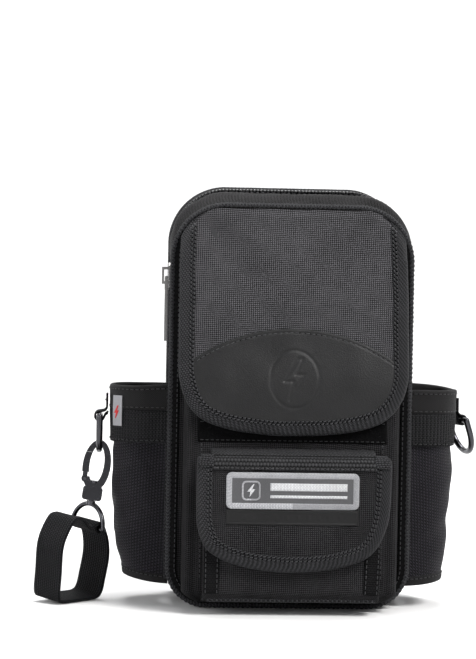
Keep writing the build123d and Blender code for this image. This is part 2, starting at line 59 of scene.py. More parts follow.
# =============================================================== node helpers
class G:
    """A small builder for one material's node tree."""

    def __init__(self, name):
        self.m = bpy.data.materials.new(name)
        self.m.use_nodes = True
        self.nt = self.m.node_tree
        self.nt.nodes.clear()
        self.out = self.nt.nodes.new("ShaderNodeOutputMaterial")
        self.bsdf = self.nt.nodes.new("ShaderNodeBsdfPrincipled")
        self.nt.links.new(self.bsdf.outputs[0], self.out.inputs["Surface"])

    def n(self, kind, **kw):
        x = self.nt.nodes.new("ShaderNode" + kind)
        for k, v in kw.items():
            setattr(x, k, v)
        return x

    def plug(self, value, socket):
        if hasattr(value, "is_output") or isinstance(value, bpy.types.NodeSocket):
            self.nt.links.new(value, socket)
        else:
            if socket.type == "RGBA" and len(value) == 3:
                value = (*value, 1)
            socket.default_value = value

    def math(self, op, a, b=None, c=None, clamp=False):
        x = self.n("Math", operation=op, use_clamp=clamp)
        self.plug(a, x.inputs[0])
        if b is not None:
            self.plug(b, x.inputs[1])
        if c is not None:
            self.plug(c, x.inputs[2])
        return x.outputs[0]

    def mix(self, fac, a, b, mode="MIX"):
        x = self.n("Mix", data_type="RGBA", blend_type=mode)
        self.plug(fac, x.inputs[0])
        self.plug(a, x.inputs[6])
        self.plug(b, x.inputs[7])
        return x.outputs[2]

    def maprange(self, v, a, b, c, d):
        x = self.n("MapRange")
        self.plug(v, x.inputs[0])
        for i, w in enumerate((a, b, c, d)):
            x.inputs[i + 1].default_value = w
        return x.outputs[0]

    def noise(self, vec, scale, detail=3.0, rough=0.55):
        x = self.n("TexNoise")
        self.plug(vec, x.inputs["Vector"])
        x.inputs["Scale"].default_value = scale
        x.inputs["Detail"].default_value = detail
        x.inputs["Roughness"].default_value = rough
        return x.outputs[0]

    def voronoi(self, vec, scale, feature="F1"):
        x = self.n("TexVoronoi", feature=feature)
        self.plug(vec, x.inputs["Vector"])
        x.inputs["Scale"].default_value = scale
        return x.outputs[0]

    def obj(self):
        return self.n("TexCoord").outputs["Object"]

    def uv(self):
        return self.n("UVMap", uv_map="W").outputs[0]

    def xyz(self, vec):
        x = self.n("SeparateXYZ")
        self.plug(vec, x.inputs[0])
        return x.outputs

    def bump(self, height, strength, dist):
        x = self.n("Bump")
        x.inputs["Strength"].default_value = strength
        x.inputs["Distance"].default_value = dist
        self.plug(height, x.inputs["Height"])
        self.nt.links.new(x.outputs[0], self.bsdf.inputs["Normal"])

    def set(self, **kw):
        for k, v in kw.items():
            self.plug(v, self.bsdf.inputs[k.replace("_", " ")])
        return self

    def sheen(self, w, rough, tint=(1, 1, 1, 1)):
        self.bsdf.inputs["Sheen Weight"].default_value = w
        self.bsdf.inputs["Sheen Roughness"].default_value = rough
        self.bsdf.inputs["Sheen Tint"].default_value = tint
        return self

    def threads(self, uv, pu, pv, diag=False):
        """Plain-woven threads: height 0 to 1, and 1 where the warp is on top."""
        s = self.xyz(uv)
        a, b = s[0], s[1]
        if diag:
            a, b = self.math("ADD", s[0], s[1]), self.math("SUBTRACT", s[0], s[1])
        u = self.math("DIVIDE", a, pu)
        v = self.math("DIVIDE", b, pv)
        su = self.math("SINE", self.math("MULTIPLY", u, math.pi))
        sv = self.math("SINE", self.math("MULTIPLY", v, math.pi))
        top = self.math("GREATER_THAN", self.math("MULTIPLY", su, sv), 0.0)
        au, av = self.math("ABSOLUTE", su), self.math("ABSOLUTE", sv)
        warp = self.math("MULTIPLY", self.math("POWER", au, 0.6), self.math("MULTIPLY_ADD", av, 0.5, 0.5))
        weft = self.math("MULTIPLY", self.math("POWER", av, 0.6), self.math("MULTIPLY_ADD", au, 0.5, 0.5))
        h = self.math("ADD", self.math("MULTIPLY", warp, top), self.math("MULTIPLY", weft, self.math("SUBTRACT", 1.0, top)))
        return h, top


def fabric(name, color, pitch, depth, light=1.7, rough=0.72, sheen=0.02, mottled=0.25, spec=0.1, diag=False, crown_highlight=0.35, over=0.5, dark=0.35, grain=0.5):
    """Woven cloth: threads with height, colour lighter on the thread crowns as painted highlight and darker between
    them as painted shade, warp and weft of slightly different tone, slow mottling and a fine grain.
    """
    g = G(name)
    uv = g.uv()
    o = g.obj()
    h, top = g.threads(uv, pitch, pitch * 1.08, diag)
    big = g.noise(o, 28.0, 4.0, 0.6)
    mid = g.noise(o, 120.0, 3.0, 0.6)
    fine = g.noise(o, 1000.0, 2.0, 0.6)
    # thread height h lifts the colour on the crowns: painted highlight, with painted shade between the threads; the
    # noise terms below are real tone
    t = g.math("MULTIPLY_ADD", h, crown_highlight, 0.42 - 0.5 * crown_highlight - 0.5 * over)
    t = g.math("ADD", t, g.math("MULTIPLY", top, over))
    t = g.math("ADD", t, g.math("MULTIPLY", g.math("SUBTRACT", big, 0.5), mottled))
    t = g.math("ADD", t, g.math("MULTIPLY", g.math("SUBTRACT", mid, 0.5), mottled * 0.7))
    t = g.math("ADD", t, g.math("MULTIPLY", g.math("SUBTRACT", fine, 0.5), grain), clamp=True)
    g.set(Base_Color=g.mix(t, tuple(c * dark for c in color), tuple(min(1, c * light) for c in color)), Roughness=g.maprange(fine, 0.3, 0.7, rough - 0.08, rough + 0.08))
    g.bsdf.inputs["Specular IOR Level"].default_value = spec
    g.sheen(sheen, 0.45, (0.85, 0.87, 0.92, 1))
    hh = g.math("ADD", h, g.math("ADD", g.math("MULTIPLY", top, 0.35), g.math("MULTIPLY", fine, 0.3)))
    g.bump(hh, 0.9, depth)
    return g.m


def ribbed(name, color, pitch, depth, axis=0, light=3.0, rough=0.66, sheen=0.02, fine_pitch=0.0009, spec=0.12, dark=0.35, over=0.45):
    """Tape with ribs across it: grosgrain or webbing, colour lighter on the rib crests as painted highlight and darker
    in the grooves as painted shade. axis 0 puts the ribs across the length.
    """
    g = G(name)
    uv = g.uv()
    o = g.obj()
    s = g.xyz(uv)
    sa = g.math("SINE", g.math("MULTIPLY", g.math("DIVIDE", s[axis], pitch), math.pi))
    sb = g.math("SINE", g.math("MULTIPLY", g.math("DIVIDE", s[1 - axis], fine_pitch), math.pi))
    rib, cross = g.math("ABSOLUTE", sa), g.math("ABSOLUTE", sb)
    top = g.math("GREATER_THAN", g.math("MULTIPLY", sa, sb), 0.0)
    fine = g.noise(o, 1100.0, 2.0, 0.5)
    big = g.noise(o, 40.0, 3.0, 0.6)
    # rib height lifts the colour on the crests: painted highlight, with painted shade in the grooves; the noise terms
    # are real tone
    t = g.math("ADD", g.math("MULTIPLY_ADD", rib, 0.55, -0.05), g.math("MULTIPLY", g.math("SUBTRACT", top, 0.5), over))
    t = g.math("ADD", t, g.math("ADD", g.math("MULTIPLY", g.math("SUBTRACT", fine, 0.5), 0.4), g.math("MULTIPLY", g.math("SUBTRACT", big, 0.5), 0.35)), clamp=True)
    g.set(Base_Color=g.mix(t, tuple(c * dark for c in color), tuple(min(1, c * light) for c in color)), Roughness=g.maprange(fine, 0.3, 0.7, rough - 0.08, rough + 0.08))
    g.bsdf.inputs["Specular IOR Level"].default_value = spec
    g.sheen(sheen, 0.4, (0.85, 0.87, 0.92, 1))
    g.bump(g.math("ADD", rib, g.math("MULTIPLY", cross, 0.35)), 0.9, depth)
    return g.m


def metal(name, color, rough, scratch=0.05, grain=0.0):
    g = G(name)
    o = g.obj()
    big = g.noise(o, 60.0, 4.0, 0.6)
    mp = g.n("Mapping")
    g.plug(o, mp.inputs[0])
    mp.inputs["Scale"].default_value = (40, 900, 160)
    fine = g.noise(mp.outputs[0], 1.0, 4.0, 0.65)
    g.set(Base_Color=g.mix(big, tuple(c * 0.85 for c in color), tuple(min(1, c * 1.12) for c in color)), Metallic=1.0,
          Roughness=g.math("ADD", g.maprange(fine, 0.35, 0.7, rough - scratch, rough + scratch), g.math("MULTIPLY", g.math("SUBTRACT", big, 0.5), 0.1)))
    g.bump(g.math("ADD", fine, g.math("MULTIPLY", g.noise(o, 700.0, 2.0), grain)), 0.12, 0.00005)
    return g.m


def plain(name, color, rough=0.6, bump=0.00005, scale=500.0, spec=0.4, sheen=0.0):
    g = G(name)
    o = g.obj()
    fine = g.noise(o, scale, 3.0, 0.6)
    big = g.noise(o, 40.0, 3.0, 0.6)
    g.set(Base_Color=g.mix(g.math("MULTIPLY_ADD", big, 0.6, g.math("MULTIPLY", fine, 0.4)), tuple(c * 0.75 for c in color), tuple(min(1, c * 1.25) for c in color)),
          Roughness=g.maprange(fine, 0.3, 0.7, rough - 0.08, rough + 0.08))
    g.bsdf.inputs["Specular IOR Level"].default_value = spec
    g.sheen(sheen, 0.4)
    g.bump(fine, 0.5, bump)
    return g.m


def vinyl_material():
    g = G("vinyl")
    o = g.obj()
    v = g.voronoi(o, 1400.0)
    big = g.noise(o, 30.0, 4.0, 0.6)
    fine = g.noise(o, 700.0, 3.0, 0.6)
    g.set(Base_Color=g.mix(g.math("MULTIPLY_ADD", fine, 0.5, g.math("MULTIPLY", big, 0.5)), (0.0003, 0.0003, 0.0004), (0.0135, 0.0135, 0.0140)), Roughness=g.math("ADD", g.maprange(fine, 0.3, 0.7, 0.40, 0.54), g.math("MULTIPLY", g.math("SUBTRACT", big, 0.5), 0.12)))
    g.bsdf.inputs["Specular IOR Level"].default_value = 0.20
    g.bump(g.math("ADD", v, g.math("MULTIPLY", fine, 0.6)), 0.6, 0.00022)
    return g.m


def fuzzy(name, color):
    """Hook or loop tape: a dense nap."""
    g = G(name)
    o = g.obj()
    a = g.noise(o, 1300.0, 3.0, 0.7)
    b = g.voronoi(o, 900.0)
    t = g.math("MULTIPLY", a, g.math("ADD", b, 0.4), clamp=True)
    g.set(Base_Color=g.mix(t, tuple(c * 0.4 for c in color), tuple(c * 2.0 for c in color)), Roughness=0.92)
    g.sheen(0.01, 0.6)
    g.bsdf.inputs["Specular IOR Level"].default_value = 0.03
    g.bump(t, 1.0, 0.0006)
    return g.m


M = {
    # one fabric in two copies: the lighter, lit copy is for the main flap; the darker copy is darkened with painted
    # shade for the panels, pockets and small flap below
    "nylon": fabric("nylon", (0.0112, 0.0110, 0.0118), 0.00120, 0.00055, light=6.8, mottled=0.60, spec=0.07, sheen=0.01, diag=True, over=0.95, grain=0.95, dark=0.08),
    "nylon_painted_shade": fabric("nylon_painted_shade", (0.0054, 0.0053, 0.0056), 0.00120, 0.00055, light=5.6, mottled=0.55, spec=0.05, sheen=0.0, diag=True, over=0.85, grain=1.2, dark=0.08),
    "gusset": fabric("gusset_nylon", (0.0048, 0.0046, 0.0048), 0.00105, 0.00045, light=4.4, mottled=0.70, spec=0.07, grain=1.1, sheen=0.02, rough=0.55),
    "mesh": fabric("pocket_ballistic", (0.0028, 0.0026, 0.0032), 0.0019, 0.00130, light=8.5, rough=0.6, mottled=0.22, spec=0.10, sheen=0.0, diag=True, crown_highlight=0.9, over=0.8, dark=0.15, grain=0.25),
    "binding": ribbed("binding_tape", (0.0072, 0.0072, 0.0078), 0.0014, 0.00060, light=6.0, over=0.60, dark=0.15),
    # flange tape: dark tape, darkened further to near-black as painted shade for the main flap's shadow on the piping
    # flange
    "flange": ribbed("flange_tape_painted_shade", (0.0030, 0.0030, 0.0032), 0.0014, 0.00030, light=3.0, spec=0.05, sheen=0.0),
    # piping_tape: the high light and low dark gains paint highlights on the rope's crests and shade between them
    "piping": ribbed("piping_tape", (0.0100, 0.0100, 0.0108), 0.0022, 0.00110, light=8.5, dark=0.05, over=0.25),
    "rim": fabric("rim_tape", (0.0062, 0.0060, 0.0062), 0.00060, 0.00014, light=2.6, mottled=0.25, spec=0.10, sheen=0.02, grain=0.7),
    "webbing": ribbed("ribbed_webbing", (0.0028, 0.0028, 0.0031), 0.0019, 0.00090, axis=1, light=8.0, spec=0.05, sheen=0.0, dark=0.12),
    "web_ribs": ribbed("ribbed_band", (0.0072, 0.0072, 0.0076), 0.0027, 0.00090, axis=1, light=6.5, fine_pitch=0.0011, dark=0.08),
    "lining": fabric("lining", (0.022, 0.022, 0.0235), 0.00045, 0.00008, light=1.6, rough=0.6, dark=0.6, over=0.2, grain=0.3),
    "foam": plain("foam", (0.03, 0.03, 0.032), 0.9, 0.0003, 900.0),
    "stiff": plain("stiffener_sheet", (0.02, 0.02, 0.021), 0.5),
    "vinyl": vinyl_material(),
    "loop": fuzzy("hook_loop", (0.0014, 0.0014, 0.0015)),
    "coil": plain("zip_coil_nylon", (0.008, 0.008, 0.009), 0.34, 0.00003, 900.0, spec=0.5),
    "nickel": metal("polished_nickel", (0.27, 0.265, 0.26), 0.24, 0.06),
    "gun": metal("black_nickel", (0.055, 0.055, 0.06), 0.22, 0.06),
    "hook": metal("hook_plating", (0.030, 0.030, 0.033), 0.28, 0.08, 0.4),
    # two copies of one thread: the lighter copy paints the highlight the stitches catch, the darker copy is painted
    # shade for stitches on the side pockets and loop tape
    "thread": plain("stitch_thread", (0.017, 0.017, 0.019), 0.5, 0.00004, 2500.0, spec=0.4, sheen=0.05),
    "thread_dark": plain("stitch_thread_shaded_copy", (0.007, 0.007, 0.008), 0.5, 0.00004, 2500.0, sheen=0.0),
    # needle holes: near-black colour is painted shade inside the holes
    "hole": plain("needle_holes_painted_shade", (0.0012, 0.0012, 0.0012), 0.9, 0.00004, 2500.0, spec=0.02),
    "label": fabric("label_cloth", (0.062, 0.062, 0.065), 0.00045, 0.00010, light=1.6, mottled=0.15, dark=0.6, over=0.3, grain=0.3),
    "silver": plain("silver_thread", (0.42, 0.425, 0.44), 0.42, 0.00005, 1500.0, sheen=0.1),
    "tag": fabric("tag_cloth", (0.20, 0.20, 0.21), 0.0004, 0.00008, light=1.5, dark=0.8, over=0.2, grain=0.3),
    "tag_mark": fabric("tag_mark", (0.42, 0.03, 0.03), 0.0004, 0.00006, light=1.3, dark=0.8, over=0.2, grain=0.2),
}


# =============================================================== mesh helpers
def finish_mesh(name, verts, faces, uvs=None, mat=None, smooth=True, mats=None, face_mats=None):
    me = bpy.data.meshes.new(name)
    me.from_pydata([tuple(v) for v in np.asarray(verts, float) * MM], [], faces)
    if uvs is not None:
        lay = me.uv_layers.new(name="W")
        flat = np.asarray(uvs, float).reshape(-1, 2) * MM
        lay.data.foreach_set("uv", flat.astype(np.float32).ravel())
    for m in mats or [mat]:
        me.materials.append(M[m] if isinstance(m, str) else m)
    if face_mats is not None:
        me.polygons.foreach_set("material_index", np.asarray(face_mats, np.int32))
    if smooth:
        me.polygons.foreach_set("use_smooth", np.ones(len(me.polygons), bool))
    me.validate()
    me.update()
    ob = bpy.data.objects.new(name, me)
    bpy.context.scene.collection.objects.link(ob)
    return ob


def lengths(P, axis, closed=False):
    d = np.linalg.norm(np.diff(P, axis=axis), axis=2)
    pad = [(0, 0), (0, 0)]
    pad[axis] = (1, 0)
    s = np.cumsum(np.pad(d, pad), axis=axis)
    if closed:
        last = np.take(s, [-1], axis=axis) + np.linalg.norm(np.take(P, [0], axis=axis) - np.take(P, [-1], axis=axis), axis=2)
        s = np.concatenate([s, last], axis=axis)
    return s


def grid(name, P, mat, cu=False, cv=False, flip=False, uv=None, caps=False):
    """A quad grid of points P[n, m, 3] in millimetres. cu and cv close it along each way."""
    P = np.asarray(P, float)
    n, m = P.shape[:2]
    if uv is None:
        U, V = lengths(P, 0, cu), lengths(P, 1, cv)
        if cv:
            U = np.concatenate([U, U[:, :1]], axis=1)
        if cu:
            V = np.concatenate([V, V[:1]], axis=0)
    else:
        U, V = uv
    faces, uvs = [], []
    for i in range(n if cu else n - 1):
        a = (i + 1) % n
        for j in range(m if cv else m - 1):
            b = (j + 1) % m
            f = [i * m + j, a * m + j, a * m + b, i * m + b]
            w = [(U[i, j], V[i, j]), (U[i + 1, j], V[i + 1, j]), (U[i + 1, j + 1], V[i + 1, j + 1]), (U[i, j + 1], V[i, j + 1])]
            if flip:
                f, w = f[::-1], w[::-1]
            faces.append(f)
            uvs += w
    if caps:  # closes the open ends of a tube (cv closed, cu open)
        for i, rev in ((0, False), (n - 1, True)):
            f = [i * m + j for j in range(m)]
            w = [(P[i, j] - P[i, 0])[[0, 2]] for j in range(m)]
            if rev != flip:
                f, w = f[::-1], w[::-1]
            faces.append(f)
            uvs += [tuple(x) for x in w]
    return finish_mesh(name, P.reshape(-1, 3), faces, uvs, mat)


def apply_all(ob):
    """Applies an object's modifiers to its mesh."""
    dg = bpy.context.evaluated_depsgraph_get()
    dg.update()
    me = bpy.data.meshes.new_from_object(ob.evaluated_get(dg), preserve_all_data_layers=True, depsgraph=dg)
    old = ob.data
    ob.modifiers.clear()
    ob.data = me
    if old.users == 0:
        bpy.data.meshes.remove(old)
    return ob


def recalc(ob):
    bm = bmesh.new()
    bm.from_mesh(ob.data)
    bmesh.ops.recalc_face_normals(bm, faces=bm.faces)
    bm.to_mesh(ob.data)
    bm.free()
    return ob


def thicken(ob, t, offset=-1.0, rim=True, sub=0, even=True):
    md = ob.modifiers.new("t", "SOLIDIFY")
    md.thickness = t * MM
    md.offset = offset
    md.use_even_offset = even
    md.use_rim = rim
    if sub:
        s = ob.modifiers.new("s", "SUBSURF")
        s.levels = s.render_levels = sub
    return apply_all(ob)


def join(obs, name):
    obs = [o for o in obs if o is not None]
    base = obs[0]
    if len(obs) > 1:
        with bpy.context.temp_override(active_object=base, object=base, selected_objects=obs, selected_editable_objects=obs):
            bpy.ops.object.join()
    base.name = name
    base.data.name = name
    return base


def catmull(pts, step, closed=False):
    """A smooth curve through points, resampled evenly at about step."""
    P = np.asarray(pts, float)
    n = len(P)
    out = []
    rngi = range(n) if closed else range(n - 1)
    for i in rngi:
        if closed:
            p0, p1, p2, p3 = P[(i - 1) % n], P[i], P[(i + 1) % n], P[(i + 2) % n]
        else:
            p1, p2 = P[i], P[i + 1]
            p0 = P[i - 1] if i > 0 else 2 * p1 - p2
            p3 = P[i + 2] if i + 2 < n else 2 * p2 - p1
        t = np.linspace(0, 1, 24, endpoint=False)[:, None]
        out.append(0.5 * ((2 * p1) + (-p0 + p2) * t + (2 * p0 - 5 * p1 + 4 * p2 - p3) * t ** 2 + (-p0 + 3 * p1 - 3 * p2 + p3) * t ** 3))
    Q = np.concatenate(out)
    Q = np.concatenate([Q, Q[:1] if closed else P[-1:]])
    return resample(Q, step, closed)


def resample(Q, step, closed=False):
    d = np.linalg.norm(np.diff(Q, axis=0), axis=1)
    s = np.concatenate([[0], np.cumsum(d)])
    k = max(2, int(round(s[-1] / step)) + 1)
    t = np.linspace(0, s[-1], k)
    R = np.stack([np.interp(t, s, Q[:, c]) for c in range(Q.shape[1])], 1)
    return R[:-1] if closed else R


def tangents(P, closed=False):
    P = np.asarray(P, float)
    if closed:
        T = np.roll(P, -1, 0) - np.roll(P, 1, 0)
    else:
        T = np.gradient(P, axis=0)
    return T / np.maximum(np.linalg.norm(T, axis=1, keepdims=True), 1e-9)


def unit(v):
    v = np.asarray(v, float)
    return v / np.maximum(np.linalg.norm(v, axis=-1, keepdims=True), 1e-9)


def sweep(name, P, N, B, prof, mat, closed=False, flip=False):
    """Sweeps a closed profile of (a, b) points: a along N, b along B, at each path point."""
    P, N, B = (np.asarray(x, float) for x in (P, N, B))
    prof = np.asarray(prof, float)
    if prof.ndim == 2:
        prof = np.repeat(prof[None], len(P), 0)
    X = P[:, None] + prof[:, :, 0:1] * N[:, None] + prof[:, :, 1:2] * B[:, None]
    ob = grid(name, X, mat, cu=closed, cv=True, flip=flip, caps=not closed)
    return recalc(ob)


def oval(a, b, n=10, e=2.6, ca=0.0, cb=0.0):
    """A rounded-rectangle-like profile with half sizes a and b."""
    t = np.linspace(0, 2 * np.pi, n, endpoint=False) + np.pi / n
    c, s = np.cos(t), np.sin(t)
    r = (np.abs(c) ** e + np.abs(s) ** e) ** (-1 / e)
    return np.stack([ca + a * r * c, cb + b * r * s], 1)


def stitches(name, P, Nrm, length=2.7, gap=0.9, r=0.32, lift=0.12, mat="thread", closed=False, slant=0.0):
    """Raised thread stitches along a path P with surface normals Nrm, and a needle hole between each two, made
    near-black with painted shade.
    """
    P, Nrm = np.asarray(P, float), unit(Nrm)
    if closed:
        P, Nrm = np.concatenate([P, P[:1]]), np.concatenate([Nrm, Nrm[:1]])
    d = np.linalg.norm(np.diff(P, axis=0), axis=1)
    s = np.concatenate([[0], np.cumsum(d)])
    count = int((s[-1] - 0.5) // (length + gap))
    if count < 1:
        return None
    pitch = s[-1] / count
    ln = pitch * length / (length + gap)
    ts = np.array([0.0, 0.16, 0.5, 0.84, 1.0])
    rs = np.array([0.35, 0.95, 1.0, 0.95, 0.35]) * r
    hs = np.array([-0.30, 0.05, 0.10, 0.05, -0.30]) + lift
    side = 6
    ang = np.linspace(0, 2 * np.pi, side, endpoint=False)
    verts, faces, fm = [], [], []
    for k in range(count):
        t = k * pitch + ts * ln + (pitch - ln) / 2
        C = np.stack([np.interp(t, s, P[:, c]) for c in range(3)], 1)
        Nn = unit(np.stack([np.interp(t, s, Nrm[:, c]) for c in range(3)], 1))
        T = unit(C[-1] - C[0])
        S = unit(np.cross(Nn, T))
        C = C + S * (slant * (ts - 0.5))[:, None]
        base = len(verts)
        for q in range(5):
            c = C[q] + Nn[q] * hs[q]
            for a in ang:
                verts.append(c + (math.cos(a) * S[q] + math.sin(a) * Nn[q]) * rs[q])
        for q in range(4):
            for a in range(side):
                b = (a + 1) % side
                faces.append([base + q * side + a, base + q * side + b, base + (q + 1) * side + b, base + (q + 1) * side + a])
                fm.append(0)
        faces.append([base + a for a in range(side)][::-1])
        faces.append([base + 4 * side + a for a in range(side)])
        fm += [0, 0]
        # needle hole: a shallow dimple plate, near-black as painted shade
        tc = np.clip(k * pitch + pitch, 0, s[-1])
        c = np.array([np.interp(tc, s, P[:, q]) for q in range(3)])
        nv = unit(np.array([np.interp(tc, s, Nrm[:, q]) for q in range(3)]))
        S0 = unit(np.cross(nv, T[-1] if T.ndim > 1 else T))
        T0 = np.cross(S0, nv)
        base = len(verts)
        rr = min(gap * 0.55, r * 1.5)
        for h in (0.03 + lift * 0.3, -0.35):
            for a in ang:
                verts.append(c + (math.cos(a) * S0 * 1.0 + math.sin(a) * T0) * rr + nv * h)
        for a in range(side):
            b = (a + 1) % side
            faces.append([base + a, base + b, base + side + b, base + side + a])
            fm.append(1)
        faces.append([base + a for a in range(side)])
        faces.append([base + side + a for a in range(side)][::-1])
        fm += [1, 1]
    ob = finish_mesh(name, verts, faces, None, None, mats=[mat, "hole"], face_mats=fm)
    return recalc(ob)


def smoothstep(x):
    x = np.clip(x, 0, 1)
    return x * x * (3 - 2 * x)


def wobble(x, y, seed, scale):
    """Smooth, repeatable surface unevenness between about -1 and 1."""
    r = np.random.default_rng(seed)
    v = np.zeros_like(np.asarray(x, float) + np.asarray(y, float))
    for k in range(7):
        a = r.uniform(0, 2 * math.pi)
        f = 2 * math.pi / (scale * r.uniform(0.6, 1.8))
        v = v + np.sin((np.cos(a) * x + np.sin(a) * y) * f + r.uniform(0, 6.28)) / 3.2
    return v


PIECES = []


def put(ob, body, slot, *nodes, pad=None):
    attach(ob, body)
    if nodes:
        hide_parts(*nodes)
    PIECES.append(ob)
    return ob

M["satin"] = ribbed("satin_border", (0.27, 0.272, 0.284), 0.0010, 0.00025, light=2.0, rough=0.42, dark=0.6, over=0.2)
M["satin_h"] = ribbed("satin_stripe", (0.36, 0.363, 0.372), 0.0009, 0.00020, light=2.1, rough=0.42, dark=0.6, over=0.2)
M["rubber"] = plain("moulded_strip", (0.0030, 0.0030, 0.0032), 0.5, 0.00006, 900.0, spec=0.22)
M["web_dash"] = ribbed("elastic_band", (0.0056, 0.0056, 0.0060), 0.0012, 0.00045, axis=1, light=5.0, spec=0.08, sheen=0.0, fine_pitch=0.0011)
M["webbing_wide"] = ribbed("belt_webbing", (0.0075, 0.0075, 0.008), 0.0018, 0.0004, axis=1, light=3.4)

# =============================================================== outlines
def rr_path(hw, z0, z1, rt, rb, step=1.0):
    """A rounded rectangle from the bottom's middle, up the -X side, over the top and down. Returns points and outward normals in X and Z."""
    pts, nrm = [], []

    def seg(a, b, n):
        k = max(2, int(math.hypot(b[0] - a[0], b[1] - a[1]) / step))
        for t in np.linspace(0, 1, k, endpoint=False):
            pts.append((a[0] + (b[0] - a[0]) * t, a[1] + (b[1] - a[1]) * t))
            nrm.append(n)

    def arc(cx, cz, r, a0, a1):
        k = max(6, int(abs(a1 - a0) * r / step))
        for t in np.linspace(a0, a1, k, endpoint=False):
            pts.append((cx + r * math.cos(t), cz + r * math.sin(t)))
            nrm.append((math.cos(t), math.sin(t)))

    h = math.pi / 2
    seg((0, z0), (-hw + rb, z0), (0, -1))
    arc(-hw + rb, z0 + rb, rb, -h, -2 * h)
    seg((-hw, z0 + rb), (-hw, z1 - rt), (-1, 0))
    arc(-hw + rt, z1 - rt, rt, 2 * h, h)
    seg((-hw + rt, z1), (hw - rt, z1), (0, 1))
    arc(hw - rt, z1 - rt, rt, h, 0)
    seg((hw, z1 - rt), (hw, z0 + rb), (1, 0))
    arc(hw - rb, z0 + rb, rb, 0, -h)
    seg((hw - rb, z0), (0, z0), (0, -1))
    return np.array(pts), np.array(nrm)


def half_width(z, hw, z0, z1, rt, rb):
    """Half the width of a rounded rectangle at height z."""
    z = np.clip(z, z0, z1)
    w = np.full_like(np.asarray(z, float), hw)
    up = z > z1 - rt
    w = np.where(up, hw - rt + np.sqrt(np.maximum(0, rt ** 2 - (z - (z1 - rt)) ** 2)), w)
    dn = z < z0 + rb
    return np.where(dn, hw - rb + np.sqrt(np.maximum(0, rb ** 2 - ((z0 + rb) - z) ** 2)), w)


def z_range(x, hw, z0, z1, rt, rb):
    x = np.abs(np.asarray(x, float))
    top = np.where(x > hw - rt, z1 - rt + np.sqrt(np.maximum(0, rt ** 2 - (x - (hw - rt)) ** 2)), z1)
    bot = np.where(x > hw - rb, z0 + rb - np.sqrt(np.maximum(0, rb ** 2 - (x - (hw - rb)) ** 2)), z0)
    return bot, top


HW, FT, BT, PB = 76.5, 258.5, 272.0, 2.5


def front_o(g, step=1.0):
    return rr_path(HW + g, PB - g, FT + g, 34 + g, 24 + g, step)


def lean(z):
    """Sideways lean of the front at height z."""
    return 0.0 * np.asarray(z, float)


def to3(P2, y, dx=True):
    P2 = np.asarray(P2, float)
    y = np.broadcast_to(y, len(P2))
    return np.stack([P2[:, 0] + (lean(P2[:, 1]) if dx else 0), y, P2[:, 1]], 1)


def slab_mesh(name, F, B, mat, mat_back=None):
    """A closed piece between a front and a back grid of points [n, m, 3]."""
    n, m = F.shape[:2]
    V = np.concatenate([F.reshape(-1, 3), B.reshape(-1, 3)])
    o = n * m
    if np.ptp(F[..., 2]) > np.ptp(F[..., 1]):
        U, W = F[..., 0], F[..., 2] * 1.012
    else:
        U, W = F[..., 0], F[..., 1]
    faces, uvs, fm = [], [], []

    def add(f, w, k=0):
        faces.append(f)
        uvs.extend(w)
        fm.append(k)

    for i in range(n - 1):
        for j in range(m - 1):
            q = [(i, j), (i + 1, j), (i + 1, j + 1), (i, j + 1)]
            w = [(U[a], W[a]) for a in q]
            add([a * m + b for a, b in q], w)
            add([o + a * m + b for a, b in q][::-1], w[::-1], 1)
    ring = [(i, 0) for i in range(n)] + [(n - 1, j) for j in range(1, m)] + [(i, m - 1) for i in range(n - 2, -1, -1)] + [(0, j) for j in range(m - 2, 0, -1)]
    s = 0.0
    for k in range(len(ring)):
        a, b = ring[k], ring[(k + 1) % len(ring)]
        d = float(np.linalg.norm(F[a] - F[b]))
        h = float(np.linalg.norm(F[a] - B[a]))
        add([b[0] * m + b[1], a[0] * m + a[1], o + a[0] * m + a[1], o + b[0] * m + b[1]], [(s + d, 0), (s, 0), (s, h), (s + d, h)])
        s += d
    ob = finish_mesh(name, V, faces, uvs, mats=[mat, mat_back or mat], face_mats=fm)
    bm = bmesh.new()
    bm.from_mesh(ob.data)
    bmesh.ops.remove_doubles(bm, verts=bm.verts, dist=1e-7)
    bmesh.ops.recalc_face_normals(bm, faces=bm.faces)
    bm.to_mesh(ob.data)
    bm.free()
    return ob


def column_grid(xs, zb, zt, rows):
    """Points X and Z over a shape given by its lower and upper edge at each x."""
    v = np.linspace(0, 1, rows)
    X = np.repeat(np.asarray(xs)[:, None], rows, 1)
    Z = np.asarray(zb)[:, None] + (np.asarray(zt) - np.asarray(zb))[:, None] * v[None]
    return X, Z


def spread(a, b, n, p=0.6):
    """n positions from a to b, closer together at both ends."""
    t = np.linspace(-1, 1, n)
    t = np.sign(t) * (1 - (1 - np.abs(t)) ** (1 / p)) * 0.5 + t * 0.5
    return (a + b) / 2 + (b - a) / 2 * t


def edge_round(d, r):
    """How far a padded edge has risen at distance d from it, 0 to 1."""
    q = np.clip(d / r, 0, 1)
    return np.sqrt(np.maximum(0, 1 - (1 - q) ** 2))


